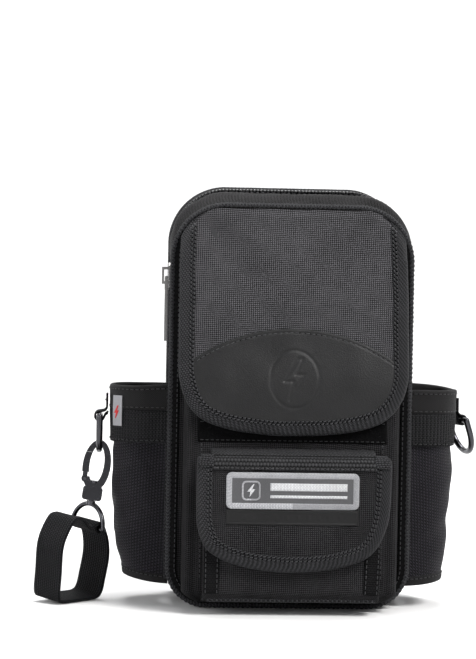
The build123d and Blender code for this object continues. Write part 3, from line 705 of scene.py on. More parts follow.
# =============================================================== front panel and its piping
def make_front_panel():
    xs = spread(-75.6, 75.6, 44)
    zb, zt = z_range(xs, 75.7, PB + 0.8, FT - 0.8, 33.2, 23.2)
    X, Z = column_grid(xs, zb, zt, 60)
    hwz = half_width(Z, 75.7, PB + 0.8, FT - 0.8, 33.2, 23.2)
    d = np.minimum(hwz - np.abs(X), np.minimum(Z - zb[:, None], zt[:, None] - Z))
    y = -17.1 - 0.9 * edge_round(d, 6) - 0.25 * wobble(X, Z, 3, 45) * edge_round(d, 12)
    F = np.stack([X + lean(Z), y, Z], 2)
    B = np.stack([X + lean(Z), np.full_like(y, -14.6), Z], 2)
    put(slab_mesh("front_panel_fabric", F, B, "nylon_painted_shade", "lining"), "pouch", "outer_fabric", "front_panel_cover", pad=0.3)

    # piping: a bound edge with small puckers, and a flat flange with stitches
    P2, N2 = front_o(0.35, 0.75)
    P = to3(P2, -16.7)
    N = np.stack([N2[:, 0], np.zeros(len(N2)), N2[:, 1]], 1)
    Y = np.tile([0.0, 1.0, 0.0], (len(P), 1))
    s = np.arange(len(P)) * 0.75
    base = oval(1.95, 2.5, 14, 2.0)
    k = 1 + 0.13 * np.sin(s * 2 * math.pi / 3.0) + 0.03 * np.sin(s * 2 * math.pi / 17.0)
    prof = base[None] * k[:, None, None]
    bead = sweep("front_piping", P, N, Y, prof, "piping", closed=True)
    put(bead, "pouch", "binding", "front_binding")
    P2f, _ = front_o(-2.5, 1.2)
    N2f = front_o(-2.5, 1.2)[1]
    # the flange's near-black material is painted shade for the shadow that the main flap casts on it
    flange = sweep("front_piping_flange", to3(P2f, -18.55), np.stack([N2f[:, 0], 0 * N2f[:, 0], N2f[:, 1]], 1), np.tile([0.0, 1.0, 0.0], (len(P2f), 1)), oval(2.5, 0.42, 10, 3.0), "flange", closed=True)
    put(flange, "pouch", "binding")
    for g, nm in ((-3.6, "b"),):
        Ps, _ = front_o(g, 1.5)
        st = stitches("front_piping_stitches_" + nm, to3(Ps, -18.93), np.tile([0.0, -1.0, 0.0], (len(Ps), 1)), 2.3, 0.9, 0.26, 0.10, closed=True)
        put(st, "pouch", "binding")


# =============================================================== gussets, zip and back
ZL, ZS, ZO = 143.0, 222.0, 246.0


def arch(t, top, rt, step, z_low=ZL):
    """The arch from the -X side at z_low, over the top, to the +X side at z_low."""
    P, N = rr_path(HW - t, PB, top - t, rt - t, 24, step)
    n = len(P)
    k0 = next(i for i in range(n) if P[i, 0] < -HW + t + 0.01 and P[i, 1] >= z_low)
    k1 = max(i for i in range(n) if P[i, 0] > HW - t - 0.01 and P[i, 1] >= z_low)
    return P[k0:k1 + 1], N[k0:k1 + 1]


def front_edge_shift(z):
    return -15.0 * smoothstep((np.asarray(z, float) - ZS) / (ZO + 6 - ZS))


def rear_edge_shift(z):
    return 9.0 * smoothstep((np.asarray(z, float) - ZS) / (ZO + 6 - ZS))


def swell_left(x, z):
    """How far the arch stands outside its plain outline."""
    w = smoothstep((z - 222) / 14.0) * smoothstep((268 - z) / 22.0)
    return np.where(x < 0, 2.8, 2.0) * w


def front_surface(P, N, f):
    """A point of the front gusset: f 0 at the piping, 1 at the zip tape."""
    z = P[:, 1]
    yE = 14.0 + front_edge_shift(z)
    y = -14.4 + (yE + 14.4) * f
    rise = 8.0 * smoothstep((y + 14.0) / 13.0) * smoothstep((z - 205) / 50.0)
    puff = 1.6 * math.sin(math.pi * f) * (0.45 + 0.55 * smoothstep((z - 180) / 40))
    out = swell_left(P[:, 0], z) * smoothstep(f * 1.6) + puff
    dx = lean(z) * (1 - f * (1 - smoothstep((z - ZS) / 30)))
    return np.stack([P[:, 0] + N[:, 0] * out + dx, y, z + N[:, 1] * out + rise * np.abs(N[:, 1]) ** 0.5 * np.sign(np.maximum(N[:, 1], 0))], 1)


def front_tape_line(P, N, extra):
    """The zip tape and teeth beyond the front gusset's edge, extra mm further back."""
    Q = front_surface(P, N, 1.0)
    Q[:, 1] += extra
    return Q


def make_gussets():
    # lower wall: left side, bottom and right side in one
    P, N = rr_path(HW, PB, FT, 34, 24, 3.0)
    n = len(P)
    order = [i for i in range(n) if P[i, 1] <= ZL + 1]
    left = [i for i in order if P[i, 0] <= 0][::-1]
    right = [i for i in order if P[i, 0] > 0][::-1]
    idx = left + right
    P, N = P[idx], N[idx]
    fs = spread(0, 1, 16)
    rows = []
    for f in fs:
        y = -14.4 + 60.6 * f
        side = np.abs(N[:, 0])
        puff = 1.0 * math.sin(math.pi * f) * side * smoothstep((P[:, 1] - 20) / 30) * smoothstep((ZL + 2 - P[:, 1]) / 30)
        rows.append(np.stack([P[:, 0] + N[:, 0] * puff, np.full(len(P), y), P[:, 1]], 1))
    X = np.stack(rows, 1)
    ob = grid("gusset_lower_fabric", X, "gusset")
    recalc_out(ob, (0, 16, 120))
    put(thicken(ob, 1.8), "pouch", "outer_fabric", "gusset_lower")

    # front half's band
    P, N = arch(0, FT, 34, 2.2, ZL - 2.5)
    X = np.stack([front_surface(P, N, f) for f in spread(0, 1, 15)], 1)
    w = wobble(X[..., 0] + X[..., 2], X[..., 1] * 2.0, 5, 26) * 0.35 * smoothstep((X[..., 2] - 150) / 60)
    X = X + w[..., None] * np.stack([N[:, 0], 0 * N[:, 0], N[:, 1]], 1)[:, None]
    ob = grid("gusset_front_fabric", X, "gusset")
    recalc_out(ob, (0, 0, 150))
    put(thicken(ob, 1.5, sub=0), "pouch", "outer_fabric", "gusset_front")
    # stitched line beside the zip tape
    for f, nm in ((0.93, "zip"),):
        Q = front_surface(P, N, f)
        nn = np.stack([N[:, 0], 0 * N[:, 0], N[:, 1]], 1)
        put(stitches("gusset_front_stitches_" + nm, Q, nn, 2.4, 1.0, 0.25, 0.15), "pouch", "binding")

    # rear half's band
    P, N = arch(0, BT, 36, 2.2, ZL - 2.5)
    rows = []
    for f in spread(0, 1, 12):
        yE = 30.0 + rear_edge_shift(P[:, 1])
        y = 46.2 + (yE - 46.2) * f
        puff = 0.9 * math.sin(math.pi * f)
        rows.append(np.stack([P[:, 0] + N[:, 0] * puff, y, P[:, 1] + N[:, 1] * puff], 1))
    X = np.stack(rows, 1)
    ob = grid("gusset_rear_fabric", X, "gusset")
    recalc_out(ob, (0, 40, 150))
    put(thicken(ob, 1.5), "pouch", "outer_fabric", "gusset_rear")

    # zip tapes and moulded teeth
    for half in ("front", "rear"):
        if half == "front":
            P, N = arch(1.0, FT, 34, 1.2)
            Pg, Ng = P + N * 1.0, N
            edge = front_tape_line(Pg, Ng, 0.0)
            edge -= np.stack([N[:, 0], 0 * N[:, 0], N[:, 1]], 1) * 1.0
            sgn = 1.0
        else:
            P, N = arch(1.0, BT, 36, 1.2)
            edge = np.stack([P[:, 0], 30.0 + rear_edge_shift(P[:, 1]), P[:, 1]], 1)
            sgn = -1.0
        nn = np.stack([N[:, 0], 0 * N[:, 0], N[:, 1]], 1)
        X = np.stack([edge + np.array([0, sgn * d, 0]) for d in (-2.0, 0.0, 2.0, 4.9)], 1)
        ob = grid("zip_tape_" + half, X, "binding")
        recalc_out(ob, (0, 22, 120))
        put(thicken(ob, 0.8, 0.0), "pouch", "binding", "zip_tape_" + half)
        # teeth
        line = edge + np.array([0, sgn * 6.2, 0])
        d = np.linalg.norm(np.diff(line, axis=0), axis=1)
        s = np.concatenate([[0], np.cumsum(d)])
        pitch = 2.3
        count = int(s[-1] / pitch)
        T = tangents(line)
        verts, faces = [], []
        prof = [(-1.9, 0.62, 0.95), (-1.0, 0.62, 1.15), (0.9, 0.50, 1.15), (1.7, 0.56, 0.85), (2.15, 0.35, 0.55)]
        for k in range(count):
            q = (k + (0.25 if half == "front" else 0.75)) * pitch
            c = np.array([np.interp(q, s, line[:, i]) for i in range(3)])
            t = unit(np.array([np.interp(q, s, T[:, i]) for i in range(3)]))
            nv = unit(np.array([np.interp(q, s, nn[:, i]) for i in range(3)]))
            a = unit(np.cross(t, nv))
            if a[1] * sgn < 0:
                a = -a
            b0 = len(verts)
            for (da, ht, hn) in prof:
                for (ct, cn) in ((-1, -0.6), (-0.6, -1), (0.6, -1), (1, -0.6), (1, 0.6), (0.6, 1), (-0.6, 1), (-1, 0.6)):
                    verts.append(c + a * da + t * ht * ct + nv * hn * cn)
            for r in range(len(prof) - 1):
                for g in range(8):
                    h = (g + 1) % 8
                    faces.append([b0 + r * 8 + g, b0 + r * 8 + h, b0 + (r + 1) * 8 + h, b0 + (r + 1) * 8 + g])
            faces.append([b0 + g for g in range(8)])
            faces.append([b0 + (len(prof) - 1) * 8 + g for g in range(8)])
        ob = recalc(finish_mesh("zip_teeth_" + half + "_moulded", verts, faces, None, "coil", smooth=False))
        put(ob, "pouch", "zip_coil", "zip_teeth_" + half)


def recalc_out(ob, centre):
    """Turns an open sheet's faces away from a point inside the pouch."""
    me = ob.data
    c = Vector(centre) * MM
    tot = 0.0
    for p in me.polygons:
        tot += p.area * (p.center - c).dot(p.normal)
    if tot < 0:
        bm = bmesh.new()
        bm.from_mesh(me)
        bmesh.ops.reverse_faces(bm, faces=bm.faces)
        bm.to_mesh(me)
        bm.free()
    return ob


def make_back():
    # padded outer panel with sewn channels
    xs = spread(-75.6, 75.6, 60)
    zb, zt = z_range(xs, 75.7, PB + 0.8, BT - 0.8, 35.2, 23.2)
    X, Z = column_grid(xs, zb, zt, 96)
    hwz = half_width(Z, 75.7, PB + 0.8, BT - 0.8, 35.2, 23.2)
    d = np.minimum(hwz - np.abs(X), np.minimum(Z - zb[:, None], zt[:, None] - Z))
    chan = np.ones_like(X)
    for zc in (70.0, 128.0):
        dd = np.abs(Z - zc - 6 * (np.abs(X) / 76.0) ** 2)
        chan = np.minimum(chan, edge_round(dd, 10) * 0.9 + 0.1)
    y = 56.6 + 1.6 * edge_round(d, 9) * chan + 0.2 * wobble(X, Z, 8, 40) * edge_round(d, 15)
    B = np.stack([X, y, Z], 2)
    F = np.stack([X, np.full_like(y, 56.1), Z], 2)
    put(slab_mesh("back_panel_padding", F, B, "mesh", "nylon_painted_shade"), "pouch", "outer_fabric", "back_cover", pad=0.5)
    for k, zc in enumerate((70.0, 128.0)):
        x = np.linspace(-72, 72, 60)
        Q = np.stack([x, np.full(60, 56.85), zc + 6 * (np.abs(x) / 76.0) ** 2], 1)
        put(stitches(f"back_channel_stitches_{k}", Q, np.tile([0.0, 1.0, 0.0], (60, 1)), 2.8, 1.1, 0.3, 0.25), "pouch", "binding")
    # lining side
    xs = spread(-74.2, 74.2, 40)
    zb, zt = z_range(xs, 74.4, PB + 2, BT - 2, 34, 22)
    X, Z = column_grid(xs, zb, zt, 60)
    y = 46.3 - 0.25 * wobble(X, Z, 9, 35) * 0.5
    F = np.stack([X, y, Z], 2)
    B = np.stack([X, np.full_like(y, 47.3), Z], 2)
    put(slab_mesh("back_lining_fabric", F, B, "lining", "lining"), "pouch", "lining", "back_lining")
    # edge binding
    P2, N2 = rr_path(HW + 0.3, PB - 0.3, BT + 0.3, 36.3, 24.3, 0.9)
    P = to3(P2, 52.4, False)
    N = np.stack([N2[:, 0], 0 * N2[:, 0], N2[:, 1]], 1)
    Y = np.tile([0.0, 1.0, 0.0], (len(P), 1))
    s = np.arange(len(P)) * 0.9
    prof = oval(2.1, 6.4, 16, 3.2)[None] * (1 + 0.02 * np.sin(s * 2 * math.pi / 2.6) + 0.015 * np.sin(s * 2 * math.pi / 23.0))[:, None, None]
    put(sweep("back_binding_tape", P, N, Y, prof, "binding", closed=True), "pouch", "binding", "back_binding")
    for yy, ny, nm in ((58.75, 1.0, "rear"),):
        Ps, _ = rr_path(HW - 0.9, PB + 0.9, BT - 0.9, 35, 23, 1.5)
        put(stitches("back_binding_stitches_" + nm, to3(Ps, yy, False), np.tile([0.0, ny, 0.0], (len(Ps), 1)), 2.6, 1.0, 0.28, 0.12, closed=True), "pouch", "binding")


def make_base():
    def pad(name, hx, y0, y1, z0, z1, r, mat, mb, nodes, rng_seed):
        xs = spread(-hx, hx, 30)
        yb, yt = z_range(xs, hx + 0.1, y0, y1, r, r)
        X, Yv = column_grid(xs, yb, yt, 20)
        d = np.minimum(hx - np.abs(X), np.minimum(Yv - yb[:, None], yt[:, None] - Yv))
        low = z0 + (z1 - z0) * 0.35 * (1 - edge_round(d, 3))
        F = np.stack([X, Yv, low], 2)
        B = np.stack([X, Yv, z1 + 0 * X], 2)
        put(slab_mesh(name, F, B, mat, mb), "pouch", "outer_fabric", *nodes)
    pad("base_pad_fabric", 52.0, -13.7, 45.7, 0.0, 2.6, 6.0, "mesh", "nylon", ["base_pad"], 1)
    P, N = rr_path(49.0, -10.7, 42.7, 5, 5, 1.5)
    Q = np.stack([P[:, 0], P[:, 1], np.full(len(P), 0.12)], 1)
    put(stitches("base_stitches", Q, np.tile([0.0, 0.0, -1.0], (len(Q), 1)), 2.8, 1.0, 0.22, -0.12, closed=True), "pouch", "binding")
    xs = spread(-67, 67, 24)
    X, Yv = column_grid(xs, np.full(24, -13.6), np.full(24, 45.6), 14)
    zc = 6.6 + 0.3 * wobble(X, Yv, 4, 30) + 9.0 * smoothstep((np.abs(X) - 54) / 16.0)
    F = np.stack([X, Yv, zc + 1.0], 2)
    B = np.stack([X, Yv, zc], 2)
    put(slab_mesh("base_lining_fabric", F, B, "lining", "lining"), "pouch", "lining", "base_lining")




# =============================================================== front pocket and small pocket
def u_section(hw, depth, y0, n_front=36, roll=3.2, groove=0.0):
    """A pocket's cross-section in X and Y: from the wall at -hw, forward, across the front and back to the wall."""
    left = [(-hw, 0.0), (-hw - 0.5, 0.25), (-hw - 0.7, 0.55), (-hw - 0.2, 0.82), (-hw + roll * 0.35, 0.955), (-hw + roll, 1.0)]
    if groove:
        left += [(-hw + roll + 2.2, 1.0 - groove * 0.35), (-hw + roll + 3.6, 1.0 - groove), (-hw + roll + 4.6, 1.0 - groove * 0.5), (-hw + roll + 6.2, 1.0)]
    a = left[-1][0]
    mid = [(x, 1.0) for x in np.linspace(a, -a, n_front)[1:-1]]
    pts = left + mid + [(-x, d) for x, d in left[::-1]]
    P = catmull([(x, d * 25, 0) for x, d in pts], 2.0)
    return P[:, 0], P[:, 1] / 25.0


def pocket_shell(name, hw_of_z, rows, y_wall, mat, thick, groove, folds, seed, roll=3.2):
    """rows: (z, depth). The shell is open at the top."""
    G_ = []
    for z, dep in rows:
        hw = hw_of_z(z)
        X, D = u_section(66.0, 1, 0, roll=roll, groove=groove)
        X = X * hw / 66.0
        G_.append(np.stack([X, y_wall - D * dep, np.full(len(X), z)], 1))
    P = np.stack(G_, 1)
    X, Z = P[..., 0], P[..., 2]
    frontness = smoothstep((y_wall - P[..., 1]) / np.maximum(0.1, np.array([d for _, d in rows])[None]) * 4 - 3)
    inner = smoothstep((1 - np.abs(X) / np.maximum(10, np.array([hw_of_z(z) for z, _ in rows]))[None]) * 8)
    P[..., 1] -= frontness * inner * (0.45 * wobble(X, Z, seed, 50) * folds + 0.25 * folds * wobble(X, Z, seed + 1, 19))
    ob = grid(name, P, mat)
    recalc_out(ob, (0, y_wall + 5, 80))
    return thicken(ob, thick, even=False)


def make_pockets():
    def fp_w(z):
        return float(min(68.0, half_width(np.array(z), 75.3, 4.5, 300, 20, 26)))

    def fp_y(z):
        if z < 16:
            return 16.0 + 6.0 * (1 - ((16 - z) / 10.0) ** 2) if z > 6 else 16.0
        if z < 140:
            return 22.0
        return 22.0 - 12.5 * (z - 140) / 58.0

    rows = [(6.3, 0.5), (6.2, 5.0), (6.1, 10.0), (6.1, 14.5)] + [(z, fp_y(z)) for z in list(np.linspace(6.8, 16, 7)) + list(np.linspace(18, 197.5, 64))]
    ob = pocket_shell("front_pocket_fabric", fp_w, rows, -18.0, "nylon_painted_shade", 1.6, 0.075, 0.55, 21)
    put(ob, "pouch", "outer_fabric", "front_pocket")
    # bound upper edge
    y = -18.0 - 9.5
    x = np.linspace(-66, 66, 60)
    Q = np.stack([x, np.full(60, y + 1.0) + 0.3 * np.sin(x / 9.0), np.full(60, 195.5)], 1)
    put(sweep("front_pocket_edge", Q, np.tile([0, -0.98, 0.2], (60, 1)), np.tile([0, 0.2, 0.98], (60, 1)), oval(1.5, 3.6, 14, 3.0), "binding"), "pouch", "binding")
    put(stitches("front_pocket_edge_stitches", Q + np.array([0, -1.7, -1.8]), np.tile([0, -1.0, 0.2], (60, 1)), 2.4, 1.0, 0.26, 0.1), "pouch", "binding")
    # seam columns beside the bellows folds
    for s in (-1, 1):
        z = np.linspace(22, 137, 70)
        Q = np.stack([np.full(70, s * 57.4), np.full(70, -40.15), z], 1)
        put(stitches(f"front_pocket_seam_{'left' if s < 0 else 'right'}", Q, np.tile([0, -1.0, 0], (70, 1)), 2.2, 0.9, 0.24, 0.12), "pouch", "binding")

    # loop tape
    X, Z = column_grid(np.linspace(-60, 60, 90), np.full(90, 108.4), np.full(90, 138.0), 26)
    d = np.minimum(60 - np.abs(X), np.minimum(Z - 108.4, 138.0 - Z))
    y = -40.5 - 0.45 * edge_round(d, 1.2) - 0.12 * wobble(X, Z, 31, 3.5)
    seam = np.exp(-((Z - 120.5) / 0.8) ** 2)
    y = y + 0.35 * seam
    F = np.stack([X, y, Z], 2)
    put(slab_mesh("front_pocket_loop_nap", F, np.stack([X, np.full_like(y, -40.0), Z], 2), "loop"), "pouch", "hook_and_loop", "front_pocket_loop_tape")
    x = np.linspace(-59, 59, 60)
    for zz, nm in ((109.8, "low"), (121.3, "mid"), (136.6, "high")):
        Q = np.stack([x, np.full(60, -40.85), np.full(60, zz)], 1)
        put(stitches("front_pocket_loop_stitches_" + nm, Q, np.tile([0, -1.0, 0], (60, 1)), 2.3, 0.9, 0.24, 0.15, mat="thread_dark"), "pouch", "binding")

    # small pocket
    def sp_y(z):
        return 9.0 + 6.0 * (1 - ((17 - z) / 8.0) ** 2) if z < 17 else 15.0
    rows = [(9.2, 0.5), (9.1, 4.0), (9.1, 8.0)] + [(z, sp_y(z)) for z in list(np.linspace(9.6, 17, 6)) + list(np.linspace(19, 90, 28))]
    ob = pocket_shell("small_pocket_fabric", lambda z: 55.2, rows, -40.0, "nylon_painted_shade", 1.5, 0.0, 0.5, 33, roll=2.2)
    put(ob, "pouch", "outer_fabric", "small_pocket")
    for s in (-1, 1):
        side = "left" if s < 0 else "right"
        z = np.linspace(14.5, 90, 46)
        slant = 0.0 if s < 0 else 3.0
        xc = s * (50.6 - slant * np.clip((40 - z) / 40, 0, 1) * 0.5)
        dep = np.array([sp_y(v) for v in z])
        P = np.stack([xc, -40 - dep - 0.35, z], 1)
        T = tangents(P)
        N = unit(np.cross(T, np.tile([0, -1.0, 0], (46, 1))))
        B = unit(np.cross(N, T))
        # these bindings share the flange tape's material, darkened with painted shade
        put(sweep(f"small_pocket_binding_{side}", P, N, B, oval(4.9, 0.55, 14, 3.2), "flange"), "pouch", "binding", *(["small_pocket_bindings"] if s < 0 else []))
        for dx, nm in ((-3.6, "a"), (3.6, "b")):
            put(stitches(f"small_pocket_stitches_{side}_{nm}", P + np.array([dx, -0.6, 0]), np.tile([0, -1.0, 0], (46, 1)), 2.3, 0.9, 0.26, 0.12), "pouch", "binding")
    x = np.linspace(-54, 54, 50)
    Q = np.stack([x, np.full(50, -54.6), np.full(50, 88.0)], 1)
    put(sweep("small_pocket_edge", Q, np.tile([0, -1.0, 0], (50, 1)), np.tile([0, 0, 1.0], (50, 1)), oval(1.25, 3.4, 14, 3.0), "binding"), "pouch", "binding")
    # bottom seam of the small pocket
    x = np.linspace(-53, 53, 60)
    Q = np.stack([x, np.full(60, -50.8), np.full(60, 10.2)], 1)
    put(sweep("small_pocket_hem", Q, np.tile([0, -0.8, -0.6], (60, 1)), np.tile([0, -0.6, 0.8], (60, 1)), oval(0.9, 1.6, 10, 2.4), "binding"), "pouch", "binding")
    X, Z = column_grid(np.linspace(-28, 28, 44), np.full(44, 44.0), np.full(44, 64.0), 18)
    y = -55.5 - 0.42 * edge_round(np.minimum(28 - np.abs(X), np.minimum(Z - 44, 64 - Z)), 1.2) - 0.1 * wobble(X, Z, 35, 3.0)
    put(slab_mesh("small_pocket_loop_nap", np.stack([X, y, Z], 2), np.stack([X, 0 * y - 55.0, Z], 2), "loop"), "pouch", "hook_and_loop", "small_pocket_loop_patch")


# =============================================================== main flap
def flap_rear(z):
    """Y of the flap's rear face, and its slope, at height z."""
    w = 1.1
    t = (np.asarray(z, float) - 140.0) * 0.17489 / w
    y = -42.2 + w * np.logaddexp(0, t)
    s = 0.17489 / (1 + np.exp(-t))
    q = np.clip((np.asarray(z, float) - 198.0) / 57.0, 0, 1)
    return y + 3.3 * q * q * (3 - 2 * q), s + 3.3 * 6 * q * (1 - q) / 57.0


def flap_pt(x, z, off):
    x, z = np.broadcast_arrays(np.asarray(x, float), np.asarray(z, float))
    y, s = flap_rear(z)
    k = 1 / np.sqrt(1 + s * s)
    return np.stack([x + 0 * z, y - off * k, z + off * s * k], -1)


def flap_nrm(z):
    y, s = flap_rear(z)
    k = 1 / np.sqrt(1 + s * s)
    return np.stack([0 * k, -k, s * k], -1)


FLAP_PATH = [(-71.6, 262.0), (-71.9, 250.0), (-72.3, 240.0), (-72.6, 230), (-72.9, 215), (-73, 185), (-73, 155), (-72.3, 147), (-69.5, 137.5), (-64.5, 129), (-57, 122.3), (-46, 118), (-33, 115.2), (-16, 113.4), (0, 113)]


def flap_bottom(x, inset):
    """The flap's lower edge at x, inset from the outer path."""
    half = np.array(FLAP_PATH)
    full = np.concatenate([half, half[:-1][::-1] * [-1, 1]])
    C = catmull(np.c_[full, np.zeros(len(full))], 1.0)[:, :2]
    T = tangents(C)
    N = np.stack([T[:, 1], -T[:, 0]], 1)
    N = np.where((N * (np.array([0, 185]) - C)).sum(1, keepdims=True) < 0, -N, N)
    I = C + N * inset
    low = I[I[:, 1] < 190]
    k = np.argsort(low[:, 0])
    return np.interp(x, low[k, 0], low[k, 1])


def under_piping(P2, g=-1.3):
    """Moves points outside the front's outline back to its edge, so that an end runs under the piping."""
    hw, top, r = HW + g, FT + g, 34 + g
    P = P2.copy()
    c = np.array([hw - r, top - r])
    ax = np.abs(P[:, 0])
    corner = (ax > c[0]) & (P[:, 1] > c[1])
    d = np.stack([ax - c[0], P[:, 1] - c[1]], 1)
    L = np.maximum(np.linalg.norm(d, axis=1), 1e-6)
    k = np.where(corner & (L > r), r / L, 1.0)
    nx, nz = c[0] + d[:, 0] * k, c[1] + d[:, 1] * k
    P[:, 0] = np.where(corner, np.sign(P[:, 0]) * nx, np.clip(P[:, 0], -hw, hw))
    P[:, 1] = np.where(corner, nz, np.minimum(P[:, 1], top))
    return P


def bolt_sdf(x, z):
    """Signed distance, roughly, to a lightning bolt about 15 mm wide and 25 mm tall."""
    poly = np.array([(2.5, 12.5), (-6.5, -1.5), (-0.8, -1.5), (-3.2, -12.5), (6.6, 2.6), (0.8, 2.6), (5.2, 12.5)])
    d = np.full(x.shape, 1e9)
    inside = np.zeros(x.shape, bool)
    n = len(poly)
    for i in range(n):
        a, b = poly[i], poly[(i + 1) % n]
        e = b - a
        px, pz = x - a[0], z - a[1]
        t = np.clip((px * e[0] + pz * e[1]) / (e @ e), 0, 1)
        d = np.minimum(d, np.hypot(px - t * e[0], pz - t * e[1]))
        cross = ((a[1] > z) != (b[1] > z)) & (x < (b[0] - a[0]) * (z - a[1]) / (b[1] - a[1] + 1e-12) + a[0])
        inside ^= cross
    return np.where(inside, -d, d)


def flap_crown(x, z):
    cx = np.clip(1 - (np.abs(x) / 66.0) ** 2.4, 0, 1)
    cz = smoothstep((z - 116) / 22.0) * smoothstep((258 - z) / 40.0)
    big = wobble(x, z, 41, 62)
    line = np.exp(-(((x + 40) * 0.77 - (233 - z) * 0.64 + 4) / 9.0) ** 2) * smoothstep((z - 195) / 25) * smoothstep((x + 70) / 20) * smoothstep((5 - x) / 25)
    return 1.7 * cx * cz + 1.3 * big * cx * cz - 3.0 * line


def edge_gap(P2):
    """1 at the seam under the piping, 0 from 6 mm below it."""
    hw, top, r = HW - 1.3, FT - 1.3, 32.7
    ax = np.abs(P2[:, 0])
    dx, dz = ax - (hw - r), P2[:, 1] - (top - r)
    d = np.where((dx > 0) & (dz > 0), r - np.hypot(dx, dz), np.where(dz > 0, top - P2[:, 1], 99.0))
    return 1 - smoothstep(d / 6.0)


def make_main_flap():
    top_hw, top_r = 75.0, 32.5
    xs = spread(-66.5, 66.5, 96, 0.8)
    _, zt = z_range(xs, top_hw, 0, 257.2, top_r, 5)
    zt = np.minimum(zt, 256.4)
    zb = flap_bottom(xs, 7.2)
    X, Z = column_grid(xs, zb, zt, 120)
    off = 3.0 + flap_crown(X, Z)
    F = flap_pt(X, Z, off)
    B = flap_pt(X, Z, 0.5 + 0 * X)
    # the top runs back to its seam under the piping
    w = smoothstep((Z - (zt[:, None] - 4.5)) / 4.5)
    F[..., 1] = F[..., 1] * (1 - w) + (-19.3) * w
    B[..., 1] = B[..., 1] * (1 - w) + (-18.6) * w
    ob = slab_mesh("main_flap_fabric", F, B, "nylon", "lining")
    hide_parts("main_flap_panel")
    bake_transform(ob)
    PIECES.append(ob)

    # vinyl
    xs = np.linspace(-64.5, 64.5, 196)
    za = 68.5 + np.sqrt(111.5 ** 2 - xs ** 2)
    zb = flap_bottom(xs, 7.5)
    X, Z = column_grid(xs, zb, za, 104)
    e_top = za[:, None] - Z
    h = 0.75 * edge_round(e_top, 1.1)
    groove = np.exp(-((e_top - 2.6) / 0.55) ** 2) * 0.28
    cx, cz = X - 0.3, Z - 148.5
    r = np.hypot(cx, cz * 0.86)
    b = bolt_sdf(cx, cz)
    emb = 0.55 * np.exp(-(((r - 15.4) / 0.75) ** 2)) + 0.5 * np.exp(-((np.maximum(np.abs(b) - 0.15, 0) / 0.7) ** 2))
    emb = emb - 0.22 * smoothstep((15 - r) / 1.5) * smoothstep((b - 0.4) / 1.2) * 0.7
    h = h - groove - emb + 0.16 * wobble(X, Z, 44, 26)
    F = flap_pt(X, Z, 3.05 + flap_crown(X, Z) + h)
    B = flap_pt(X, Z, 2.6 + flap_crown(X, Z))
    put(slab_mesh("main_flap_vinyl_patch", F, B, "vinyl"), "main_flap", "vinyl", "main_flap_vinyl")
    x = np.linspace(-62, 62, 140)
    z = 68.5 + np.sqrt(111.5 ** 2 - x ** 2) - 2.6
    Q = flap_pt(x, z, 3.05 + flap_crown(x, z) + 0.45)
    put(stitches("main_flap_vinyl_stitches", Q, flap_nrm(z), 2.5, 0.9, 0.27, 0.1), "main_flap", "outer_fabric")

    # binding
    half = np.array(FLAP_PATH)
    full = np.concatenate([half, half[:-1][::-1] * [-1, 1]])
    C = catmull(np.c_[full, np.zeros(len(full))], 0.9)[:, :2]
    T2 = tangents(C)
    N2 = np.stack([T2[:, 1], -T2[:, 0]], 1)
    N2 = np.where((N2 * (np.array([0, 185]) - C)).sum(1, keepdims=True) < 0, -N2, N2)
    s = np.arange(len(C)) * 0.9
    wav = 0.22 * np.sin(s / 8.1) + 0.16 * np.sin(s / 4.7 + 1)
    # rows across: from the inner edge on the front, over the outer edge, to the inner edge at the back
    q = [(10.0, 3.55), (9.2, 4.05), (8.2, 4.0), (7.0, 4.3), (5.2, 4.55), (3.2, 4.5), (1.6, 4.15), (0.5, 3.3), (0.0, 2.0), (0.4, 0.9), (1.5, 0.1), (4.0, -0.15), (7.0, -0.1), (9.4, 0.1), (9.8, 0.6)]
    rows = []
    for a, off in q:
        aa = a + (wav * 0.6 if a > 8 else wav * 0.3)
        P2 = under_piping(C + N2 * aa[:, None])
        ripple = 0.07 * np.sin(s * 2 * math.pi / 2.9 + a)
        extra = flap_crown(P2[:, 0], P2[:, 1]) * (0.9 if a > 6 and off > 2 else 0.35) * (1 if off > 1.5 else 0)
        tuck = edge_gap(P2)
        rows.append(flap_pt(P2[:, 0], P2[:, 1], (off + extra + (ripple if off > 2 else 0)) * (1 - 0.72 * tuck)))
    P = np.stack(rows, 1)
    ob = recalc(grid("main_flap_edge", P, "binding", cv=True, caps=True))
    put(ob, "main_flap", "binding", "main_flap_binding")
    for a, off, nm in ((9.0, 4.15, "inner"), (7.3, 4.4, "outer")):
        P2 = C + N2 * (a + wav[:, None] * 0.6)
        Q = flap_pt(P2[:, 0], P2[:, 1], off + flap_crown(P2[:, 0], P2[:, 1]) * 0.9)
        ok = (np.linalg.norm(under_piping(P2, -3.5) - P2, axis=1) < 0.01)
        put(stitches("main_flap_edge_stitches_" + nm, Q[ok], flap_nrm(P2[:, 1])[ok], 1.9, 0.9, 0.36, 0.14, slant=0.5), "main_flap", "binding")
    # hook tape on the rear face
    X, Z = column_grid(np.linspace(-50, 50, 60), np.full(60, 118.0), np.full(60, 134.0), 14)
    y = -41.75 + 0.40 * edge_round(np.minimum(50 - np.abs(X), np.minimum(Z - 118, 134 - Z)), 1.2) + 0.08 * wobble(X, Z, 47, 3)
    put(slab_mesh("main_flap_hook_nap", np.stack([X, np.minimum(y, -41.25), Z], 2), np.stack([X, 0 * y - 42.4, Z], 2), "loop"), "main_flap", "hook_and_loop", "main_flap_hook_tape")


# =============================================================== small flap
SF_PATH = [(-59.5, 101.2), (-60.9, 98.5), (-61.0, 90), (-60.9, 70), (-60.2, 58), (-56.1, 45.6), (-47.2, 37.9), (-33, 32.6), (-16, 29.6), (0, 29), (14, 29.6), (28, 31.6), (43.9, 36.8), (53, 45.2), (58.6, 58), (60.6, 70), (61.0, 90), (60.9, 98.5), (59.5, 101.2)]


